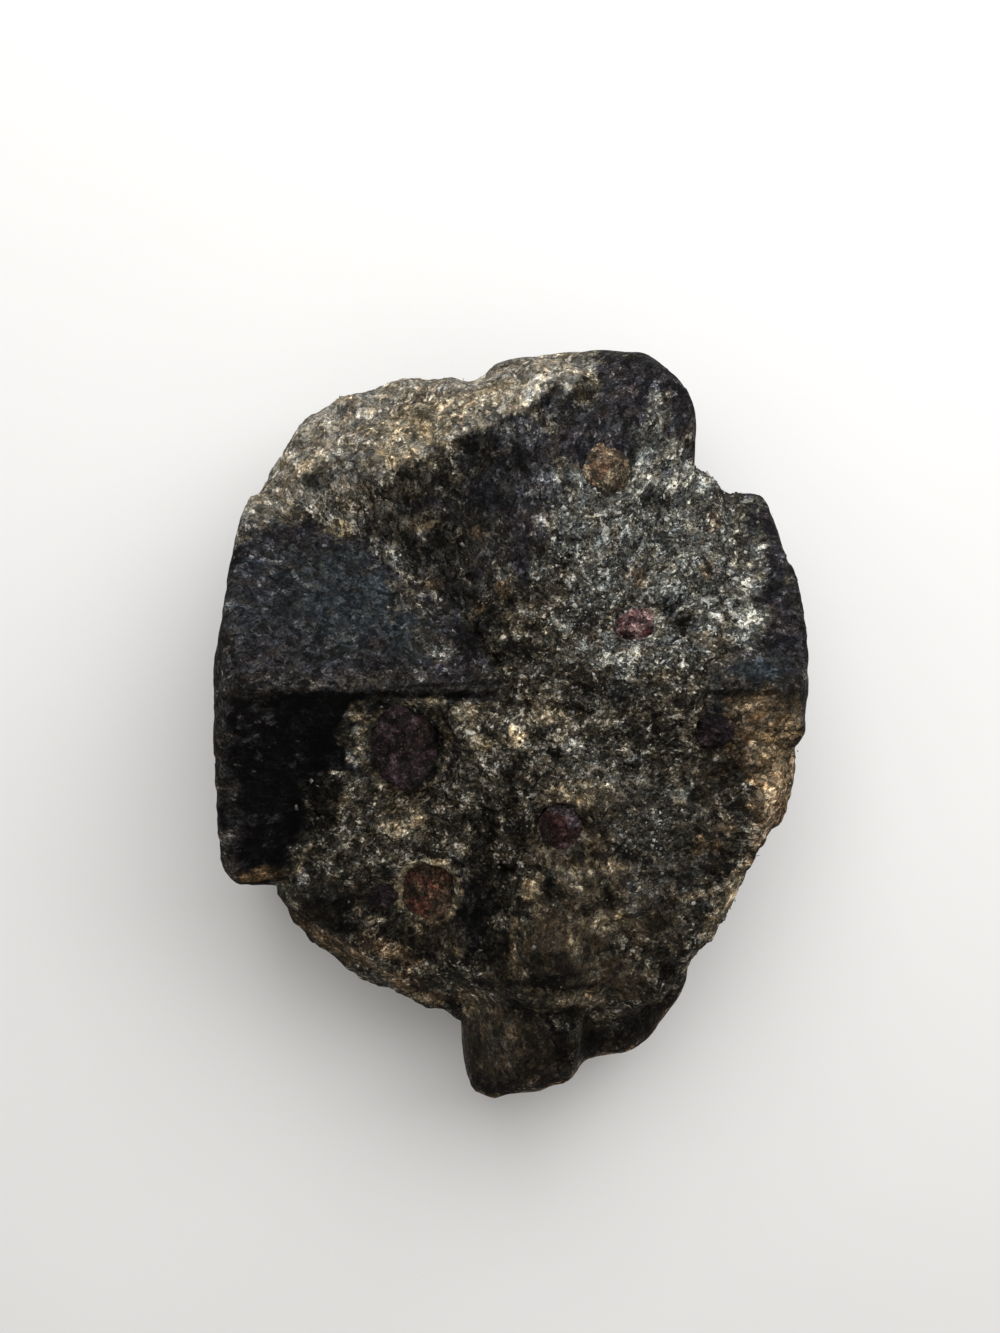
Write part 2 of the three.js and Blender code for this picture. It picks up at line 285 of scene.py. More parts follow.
def flattened(arms, out, limit):
    """Points seen from a crystal's middle, ground down where they stand out further than the limit.
    A height h becomes (h + limit - sqrt((h - limit)^2 + 0.3^2)) / 2, and the point moves straight
    towards the middle."""
    height = arms @ out
    lower = (height + limit - np.sqrt((height - limit) ** 2 + 0.09)) / 2
    kept = np.clip(lower / np.maximum(height, 0.001), 0, 1)
    return arms * (1 - (1 - kept) * ramp(height, 0, 0.6))[:, None]


def kept_inside(points):
    """The points in millimetres, moved onto the solid model's box where they leave it."""
    low, high = np.array(CAD_BOX) / MM
    return np.clip(points, low, high)


def ellipses(points, table):
    """How far the points are from the middle of each ellipse of a table, seen from above and counted
    in its half-widths, and the row's last number. A row is x, y, half-widths, turn in degrees and a
    strength or height."""
    for x, y, wide, long, turn, amount in table:
        c, s = math.cos(math.radians(turn)), math.sin(math.radians(turn))
        dx, dy = points[:, 0] - x, points[:, 1] - y
        yield np.hypot((dx * c + dy * s) / wide, (dy * c - dx * s) / long), amount


def spots(points, table, ragged=0.5):
    """A mask from 0 to 1 over the ellipses of a table, with ragged edges."""
    mask = np.zeros(len(points))
    rough = clouds(points, 1.6, 50) + 0.8 * clouds(points, 0.55, 55)
    for distance, strength in ellipses(points, table):
        mask = np.maximum(mask, strength * ramp(1.2 - distance + ragged * rough, 0, 0.6))
    return mask


def swells(points, table):
    """Heights of round lumps and hollows: a bell over each ellipse of a table."""
    total = np.zeros(len(points))
    for distance, height in ellipses(points, table):
        total += height * ramp(1.2 - distance, 0, 1)
    return total


def build_mesh(name, points, faces, masks=None):
    """A smooth mesh from points in millimetres and faces of equal size, with a number for each point
    under each mask's name."""
    mesh = bpy.data.meshes.new(name)
    count, size = faces.shape
    mesh.vertices.add(len(points))
    mesh.vertices.foreach_set("co", (points * MM).astype(np.float32).ravel())
    mesh.loops.add(count * size)
    mesh.loops.foreach_set("vertex_index", faces.astype(np.int32).ravel())
    mesh.polygons.add(count)
    mesh.polygons.foreach_set("loop_start", np.arange(0, count * size, size, dtype=np.int32))
    for key, values in (masks or {}).items():
        layer = mesh.attributes.new(key, "FLOAT", "POINT")
        layer.data.foreach_set("value", values.astype(np.float32))
    mesh.update(calc_edges=True)
    mesh.shade_smooth()
    return mesh


def add_piece(mesh, finish, slot, *nodes):
    """Puts the mesh in the scene as a piece that stands for these solids and moves with the stone."""
    if mesh.validate():
        raise RuntimeError(f"{mesh.name} has faulty faces")
    mesh.materials.append(finish)
    piece = bpy.data.objects.new(mesh.name, mesh)
    bpy.context.scene.collection.objects.link(piece)
    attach(piece, "root")
    if nodes:
        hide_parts(*nodes)
    return piece


# ---- Finishes ----


class Finish:
    """A material under construction: each call adds a node and gives its output. Sizes are in
    millimetres."""

    def __init__(self, name):
        self.material = bpy.data.materials.new(name)
        self.material.use_nodes = True
        self.tree = self.material.node_tree
        self.tree.nodes.clear()
        self.shader = self.node("ShaderNodeBsdfPrincipled")
        self.node("ShaderNodeOutputMaterial", {"Surface": self.shader.outputs["BSDF"]})
        self.place = self.node("ShaderNodeTexCoord").outputs["Object"]

    def node(self, kind, inputs=None, **settings):
        made = self.tree.nodes.new(kind)
        for key, value in settings.items():
            setattr(made, key, value)
        for key, value in (inputs or {}).items():
            self.feed(made.inputs[key], value)
        return made

    def feed(self, socket, value):
        if isinstance(value, bpy.types.NodeSocket):
            self.tree.links.new(value, socket)
        else:
            socket.default_value = value

    def math(self, operation, first, second):
        return self.node("ShaderNodeMath", {0: first, 1: second}, operation=operation).outputs[0]

    def plus(self, first, second):
        return self.math("ADD", first, second)

    def minus(self, first, second):
        return self.math("SUBTRACT", first, second)

    def times(self, first, second):
        return self.math("MULTIPLY", first, second)

    def vector(self, operation, first, second=(0, 0, 0)):
        inputs = {0: first, 1: second}
        return self.node("ShaderNodeVectorMath", inputs, operation=operation).outputs[0]

    def scaled(self, vector, factor):
        inputs = {0: vector, "Scale": factor}
        return self.node("ShaderNodeVectorMath", inputs, operation="SCALE").outputs[0]

    def pushed(self, vector, colour, amount):
        """A vector moved by amount times a colour less middle grey."""
        push = self.vector("SUBTRACT", colour, (0.5, 0.5, 0.5))
        return self.vector("ADD", vector, self.scaled(push, amount))

    def tilted(self, normal, colour, amount):
        """The normal with a push sideways that each grain's own colour sets, for glitter."""
        return self.vector("NORMALIZE", self.pushed(normal, colour, amount))

    def stretched(self, scale):
        return self.node("ShaderNodeMapping", {"Vector": self.place, "Scale": scale}).outputs[0]

    def fanned(self, middle):
        """The place with everything drawn out along the lines away from a middle: its offset times
        (distance / 14 mm)^-0.35."""
        away = self.vector("SUBTRACT", self.place, tuple(middle * MM))
        length = self.node("ShaderNodeVectorMath", {0: away}, operation="LENGTH").outputs["Value"]
        return self.scaled(away, self.math("POWER", self.math("DIVIDE", length, 14 * MM), -0.35))

    def shredded(self, place, size, amount):
        """A place pushed about by smooth noise, which turns round cells into shreds."""
        inputs = {"Vector": place, "Scale": 1 / (size * MM), "Detail": 2.0}
        colour = self.node("ShaderNodeTexNoise", inputs).outputs["Color"]
        return self.pushed(place, colour, amount * MM)

    def noise(self, size, detail=3.0, roughness=0.55, place=None):
        inputs = {
            "Vector": place or self.place,
            "Scale": 1 / (size * MM),
            "Detail": detail,
            "Roughness": roughness,
        }
        return self.node("ShaderNodeTexNoise", inputs).outputs["Fac"]

    def ragged(self):
        """Noise from about 0.3 to 1.7 that a mask is multiplied by, for a torn edge."""
        return self.plus(self.times(self.noise(0.5, 6, 0.78), 2.6), -0.3)

    def cells(self, size, place):
        inputs = {"Vector": place, "Scale": 1 / (size * MM)}
        return self.node("ShaderNodeTexVoronoi", inputs).outputs

    def share(self, colour, channel):
        return self.node("ShaderNodeSeparateColor", {"Color": colour}).outputs[channel]

    def mask(self, name):
        return self.node("ShaderNodeAttribute", attribute_name=name).outputs["Fac"]

    def ramp(self, value, stops, interpolation="LINEAR"):
        made = self.node("ShaderNodeValToRGB", {"Fac": value})
        made.color_ramp.interpolation = interpolation
        elements = made.color_ramp.elements
        while len(elements) < len(stops):
            elements.new(0.5)
        for element, (position, colour) in zip(elements, stops):
            element.position = position
            element.color = opaque(colour)
        return made.outputs["Color"]

    def mix(self, share, first, second, blend="MIX"):
        inputs = {"Fac": share, "Color1": opaque(first), "Color2": opaque(second)}
        return self.node("ShaderNodeMixRGB", inputs, blend_type=blend).outputs["Color"]

    def bump(self, height, distance, strength=1.0):
        inputs = {"Height": height, "Distance": distance * MM, "Strength": strength}
        return self.node("ShaderNodeBump", inputs).outputs["Normal"]

    def done(self, colour, roughness, normal, **fixed):
        for key, value in {"Base Color": colour, "Roughness": roughness, "Normal": normal}.items():
            self.feed(self.shader.inputs[key], value)
        for key, value in fixed.items():
            self.shader.inputs[key.replace("_", " ")].default_value = value
        return self.material


def opaque(colour):
    """A grey number or a colour of three as a colour of four. A node's output stays as it is."""
    if isinstance(colour, bpy.types.NodeSocket):
        return colour
    return (colour,) * 3 + (1,) if isinstance(colour, (int, float)) else (*colour, 1)


def stone_finish(name, tones, contrast, clots, coats, white_and_glint):
    """Shreds of two tones in clumps, drawn out away from the crossing, under ragged coats. A coat is
    a mask's name, a colour, how much its shreds differ and how softly it ends. A shred's grain comes
    from fine cells, coarse cells, soft clots and single flecks, and clots says how strong those are; the
    bright flecks are pale grains and also painted glints. Its colour is the coat's times 2^(7.4 *
    contrast * (grain - 0.5) + 2 * pale - 2.6 * dark), with pale and dark from their masks, where dark is
    partly painted shade, and the brightest turn white, which is partly pale grain and partly painted
    glint.
    Steep sides are ruled with thin layers. Some shreds shine and each lies at its own tilt."""
    f = Finish(name)
    fan = f.fanned(CROSSING + [0, -1, 13])
    small = f.cells(0.16, f.shredded(f.place, 0.3, 0.55))["Color"]
    big = f.cells(0.46, f.shredded(fan, 0.6, 1.3))["Color"]
    speck = f.cells(0.3, f.shredded(fan, 0.4, 0.8))
    patch = f.minus(f.noise(1.4, 8, 0.78, fan), 0.45)
    layers = f.noise(1.5, 6, 0.7, f.stretched((0.3, 0.3, 1.6)))
    ragged = f.ragged()
    # Bright flecks are pale grains and also painted glints; dark ones are pits.
    fleck_and_glint = f.minus(f.share(speck["Color"], 0), f.times(speck["Distance"], 0.3))
    fleck_and_glint = f.ramp(fleck_and_glint, [(0.0, -0.3), (0.1, 0.0), (0.68, 0.0), (0.8, 0.26)])
    grain = f.plus(f.times(f.share(small, 0), 0.4), f.times(f.share(big, 1), 0.44))
    grain = f.plus(f.plus(grain, f.times(patch, clots)), fleck_and_glint)
    clump = f.ramp(f.noise(2.2, 5, 0.62), [(0.38, 0.0), (0.62, 1.0)])
    colour, spread = f.mix(clump, *tones), contrast
    for mask, tint, strength, soft in coats:
        stops = [(0.28 - 0.2 * soft, 0.0), (0.58 + 0.4 * soft, 1.0 - 0.25 * soft)]
        share = f.ramp(f.times(f.mask(mask), ragged), stops)
        colour = f.mix(share, colour, tint)
        spread = f.mix(share, spread, strength)
    hue = f.ramp(f.noise(0.8, 4, 0.65, fan), [(0.35, (1.13, 1.01, 0.83)), (0.65, (0.9, 1.0, 1.1))])
    colour = f.mix(1.0, colour, hue, "MULTIPLY")
    # The dark mask is partly painted shade.
    pale, dark = (f.times(f.mask(mask), ragged) for mask in ("pale", "dark"))
    ruled = f.times(f.times(f.minus(layers, 0.5), 7.0), f.mask("side"))
    shift = f.plus(f.minus(f.times(pale, 2.0), f.times(dark, 2.6)), ruled)
    power = f.plus(f.times(f.minus(grain, 0.5), f.times(spread, 7.4)), shift)
    colour = f.scaled(colour, f.math("POWER", 2.0, power))
    # The brightest grains turn white: pale grains and also painted glints.
    whiten_and_glint = f.ramp(f.math("DIVIDE", power, 4.0), [(0.5, 0.0), (1.0, 0.65)])
    colour = f.mix(f.times(whiten_and_glint, f.math("POWER", spread, 3.0)), colour, white_and_glint)
    roughness = f.ramp(f.share(small, 2), [(0.0, 0.8), (0.8, 0.7), (0.9, 0.35)])
    height = f.plus(f.times(grain, 0.8), f.times(f.noise(0.2, 3, 0.6), 0.4))
    height = f.plus(height, f.times(f.times(layers, f.mask("side")), 2.0))
    normal = f.tilted(f.bump(height, 0.15), small, 0.35)
    return f.done(colour, roughness, normal, IOR=1.5, Specular_IOR_Level=0.05)


def rock_coats(own):
    return [
        ("smooth", own.brown, 0.5, 0.6),
        ("silver", own.silver, 1.0, 0.3),
        ("tan", own.tan, 0.64, 0.3),
        ("slate", own.slate, 0.78, 0.5),
        ("cream", own.cream, 0.75, 0.8),
        ("rust", own.rust, 0.85, 0.9),
    ]


def schist_finish(own):
    """Mica schist: silvery, tan, rusty, cream or dark where the weather made it so."""
    return stone_finish("schist", (own.dim, own.olive), 0.97, 1.5, rock_coats(own), own.white_and_glint)


def staurolite_finish(own, rock):
    """Purple-black crystal with a blue-grey coat of painted sheen on its north-tilted faces, brown where
    worn and black painted shade on the faces turned south, away from the lamp, with grains of schist
    where some still sticks to it."""
    coats = [
        ("brown", own.worn, 0.8, 0.5),
        # The blue-grey coat is painted sheen, the lamp's reflection painted on the north-tilted faces;
        # the black coat is painted shade on the faces turned south.
        ("painted_sheen", own.painted_sheen, 0.58, 0.5),
        ("black", own.black, 0.62, 0.35),
        ("olive", own.olive, 0.75, 0.5),
        ("crust", own.crust, 0.9, 0.2),
        *rock_coats(rock),
    ]
    return stone_finish("staurolite", (own.bare, own.purple), 0.78, 0.8, coats, rock.white_and_glint)


def garnet_finish(name, tones, bright, rock):
    """Dull crystal of two tones in clumps, with flat facets that each catch the light at their own
    tilt, glassy on a few chips, flecked with cream, and crusted with rock where it goes under. Each
    shred's colour is its clump's times 2^(6.5 * (grain - 0.5 + bright))."""
    f = Finish(name)
    small = f.cells(0.14, f.shredded(f.place, 0.3, 0.4))["Color"]
    chips = f.cells(0.55, f.shredded(f.place, 0.6, 0.8))
    facets = f.cells(1.7, f.shredded(f.place, 0.8, 0.25))["Color"]
    speck = f.cells(0.34, f.shredded(f.place, 0.4, 0.5))["Distance"]
    patch = f.minus(f.noise(0.9, 7, 0.8), 0.41)
    grain = f.plus(f.times(f.share(small, 0), 0.42), f.times(f.share(chips["Color"], 1), 0.3))
    grain = f.plus(grain, f.times(patch, 1.6))
    clump = f.plus(f.times(f.share(facets, 0), 0.4), f.times(f.noise(1.1, 4, 0.7), 1.2))
    clump = f.ramp(clump, [(0.66, 0.0), (0.94, 1.0)])
    power = f.times(f.plus(grain, bright - 0.5), 6.5)
    colour = f.scaled(f.mix(clump, *tones), f.math("POWER", 2.0, power))
    colour = f.mix(f.ramp(speck, [(0.1, 0.5), (0.2, 0.0)]), colour, rock.cream)
    dull = f.ramp(grain, [(0.2, rock.dim), (0.6, rock.olive), (1.1, rock.cream)])
    buried = f.ramp(f.times(f.mask("crust"), f.ragged()), [(0.25, 0.0), (0.55, 1.0)])
    colour = f.mix(buried, colour, dull)
    roughness = f.ramp(f.share(chips["Color"], 0), [(0.7, 0.55), (0.95, 0.3)])
    height = f.plus(grain, f.times(chips["Distance"], 0.8))
    normal = f.tilted(f.tilted(f.bump(height, 0.25), facets, 0.9), chips["Color"], 0.5)
    return f.done(colour, roughness, normal, IOR=1.6, Specular_IOR_Level=0.09)


def flake_finish(own):
    """Thin mica plates: some nearly black, some bronze, most silver, all glossy and finely cleaved."""
    f = Finish("mica")
    kinds = [(0.0, own.black), (0.3, own.bronze), (0.6, own.grey), (0.88, own.silver)]
    colour = f.ramp(f.mask("kind"), kinds, "CONSTANT")
    colour = f.mix(f.ramp(f.noise(0.12), [(0.35, 0.6), (0.6, 0.0)]), colour, own.bronze)
    roughness = f.ramp(f.noise(0.3), [(0.3, 0.3), (0.7, 0.55)])
    return f.done(colour, roughness, f.bump(f.noise(0.08), 0.02), IOR=1.6, Specular_IOR_Level=0.3)


def table_finish(own):
    """Pale matt paper."""
    f = Finish("paper")
    tone = f.ramp(f.noise(30), [(0.3, 0.98), (0.7, 1.0)])
    colour = f.mix(1.0, tone, own.floor, "MULTIPLY")
    return f.done(colour, 0.9, f.bump(f.noise(0.6), 0.02, 0.4))


# ---- What a user can change ----


def colour_property(name, description, default):
    return FloatVectorProperty(
        name=name, description=description, default=default, size=3, min=0, max=1, subtype="COLOR"
    )


def length_property(name, description, default):
    return FloatProperty(name=name, description=description, default=default, unit="LENGTH", precision=5)


def count_property(name, description, default, low, high):
    return IntProperty(name=name, description=description, default=default, min=low, max=high)


class CrystalSettings(bpy.types.PropertyGroup):
    wear: count_property("Wear", "Times the crystal's edges are rounded off", 12, 0, 40)
    pits: length_property("Pits", "Depth of the etch pits in the faces", 0.00022)
    bare: colour_property("Bare", "Colour of the bare crystal", (0.0148, 0.0146, 0.0158))
    purple: colour_property("Purple", "Colour of its paler parts", (0.0165, 0.0142, 0.0165))
    # Painted sheen: the blue-grey tone that stands in for the lamp's reflection on the north-tilted
    # faces.
    painted_sheen: colour_property("Film", "Colour of the blue-grey film", (0.0175, 0.0205, 0.0232))
    worn: colour_property("Worn", "Colour of the worn brown rims", (0.0215, 0.019, 0.017))
    # Painted shade: the colour given to the faces turned south, away from the lamp.
    black: colour_property("Black", "Colour of the sheltered faces", (0.0009, 0.0008, 0.0008))
    crust: colour_property("Crust", "Colour of the grains that stick to it", (0.034, 0.031, 0.026))
    olive: colour_property("Olive", "Colour of the smooth foot", (0.0085, 0.0064, 0.0038))


class RockSettings(bpy.types.PropertyGroup):
    grain: length_property("Grain", "Width of a grain that stands out", 0.00062)
    height: length_property("Grain height", "How far the grains stand out", 0.00012)
    olive: colour_property("Olive", "Colour of the dull grains", (0.034, 0.0295, 0.022))
    dim: colour_property("Dim olive", "Colour of the darker dull grains", (0.019, 0.0168, 0.0133))
    brown: colour_property("Brown", "Colour of the rock worn smooth", (0.029, 0.0225, 0.0152))
    tan: colour_property("Tan", "Colour of the weathered skin", (0.15, 0.135, 0.112))
    cream: colour_property("Cream", "Colour of weathered feldspar", (0.16, 0.13, 0.087))
    silver: colour_property("Silver", "Colour of silvery grains", (0.058, 0.058, 0.0525))
    # Palest grains, also used as painted glints.
    white_and_glint: colour_property("White", "Colour of the palest grains", (0.5, 0.49, 0.44))
    slate: colour_property("Slate", "Colour of the sooty skin", (0.02, 0.0195, 0.0215))
    rust: colour_property("Rust", "Colour of rust stains", (0.09, 0.057, 0.03))


class GarnetSettings(bpy.types.PropertyGroup):
    squares: count_property("Grid", "Squares along a side of each garnet's grid", 28, 6, 60)
    wear: count_property("Wear", "Times a garnet's edges are rounded off", 6, 0, 40)
    plum: colour_property("Plum", "Colour of the fresh garnets", (0.023, 0.015, 0.0168))
    brown: colour_property("Brown", "Colour of their darker parts", (0.007, 0.0034, 0.0032))
    black: colour_property("Black", "Colour of the darkest garnets", (0.0055, 0.003, 0.0038))
    dark: colour_property("Dark red", "Colour of the round garnet", (0.06, 0.046, 0.05))
    maroon: colour_property("Maroon", "Colour of its redder parts", (0.028, 0.012, 0.011))
    red: colour_property("Red", "Colour of the red garnet", (0.046, 0.017, 0.011))
    russet: colour_property("Russet", "Colour of its browner parts", (0.042, 0.027, 0.0165))
    pink: colour_property("Pink", "Colour of the pale garnet", (0.03, 0.009, 0.0105))
    rose: colour_property("Rose", "Colour of its palest parts", (0.155, 0.1, 0.093))
    rusty: colour_property("Rusty", "Colour of the weathered garnets", (0.14, 0.076, 0.046))


class FlakeSettings(bpy.types.PropertyGroup):
    count: count_property("Flakes", "How many mica plates lie on the rock", 6000, 1, 12000)
    width: length_property("Width", "Half-width of a middling plate", 0.0001)
    silver: colour_property("Silver", "Colour of the palest mica", (0.38, 0.38, 0.35))
    grey: colour_property("Grey", "Colour of dull mica", (0.13, 0.13, 0.12))
    bronze: colour_property("Bronze", "Colour of weathered mica", (0.06, 0.05, 0.035))
    black: colour_property("Black", "Colour of black mica", (0.005, 0.005, 0.005))


class StageSettings(bpy.types.PropertyGroup):
    height: length_property("Camera height", "Height of the camera over the table", 0.15)
    floor: colour_property("Table", "Colour of the table", (0.78, 0.775, 0.765))
    window: FloatProperty(
        name="Window", description="Strength of the large soft light", default=0.88, unit="POWER"
    )
    sky: FloatProperty(name="Sky", description="Strength of the light from all sides", default=0.47)


class StoneSettings(bpy.types.PropertyGroup):
    squares: count_property("Grid", "Squares along a side of the stone's grid", 128, 16, 128)
    crystals: PointerProperty(type=CrystalSettings)
    rock: PointerProperty(type=RockSettings)
    garnets: PointerProperty(type=GarnetSettings)
    flakes: PointerProperty(type=FlakeSettings)
    stage: PointerProperty(type=StageSettings)
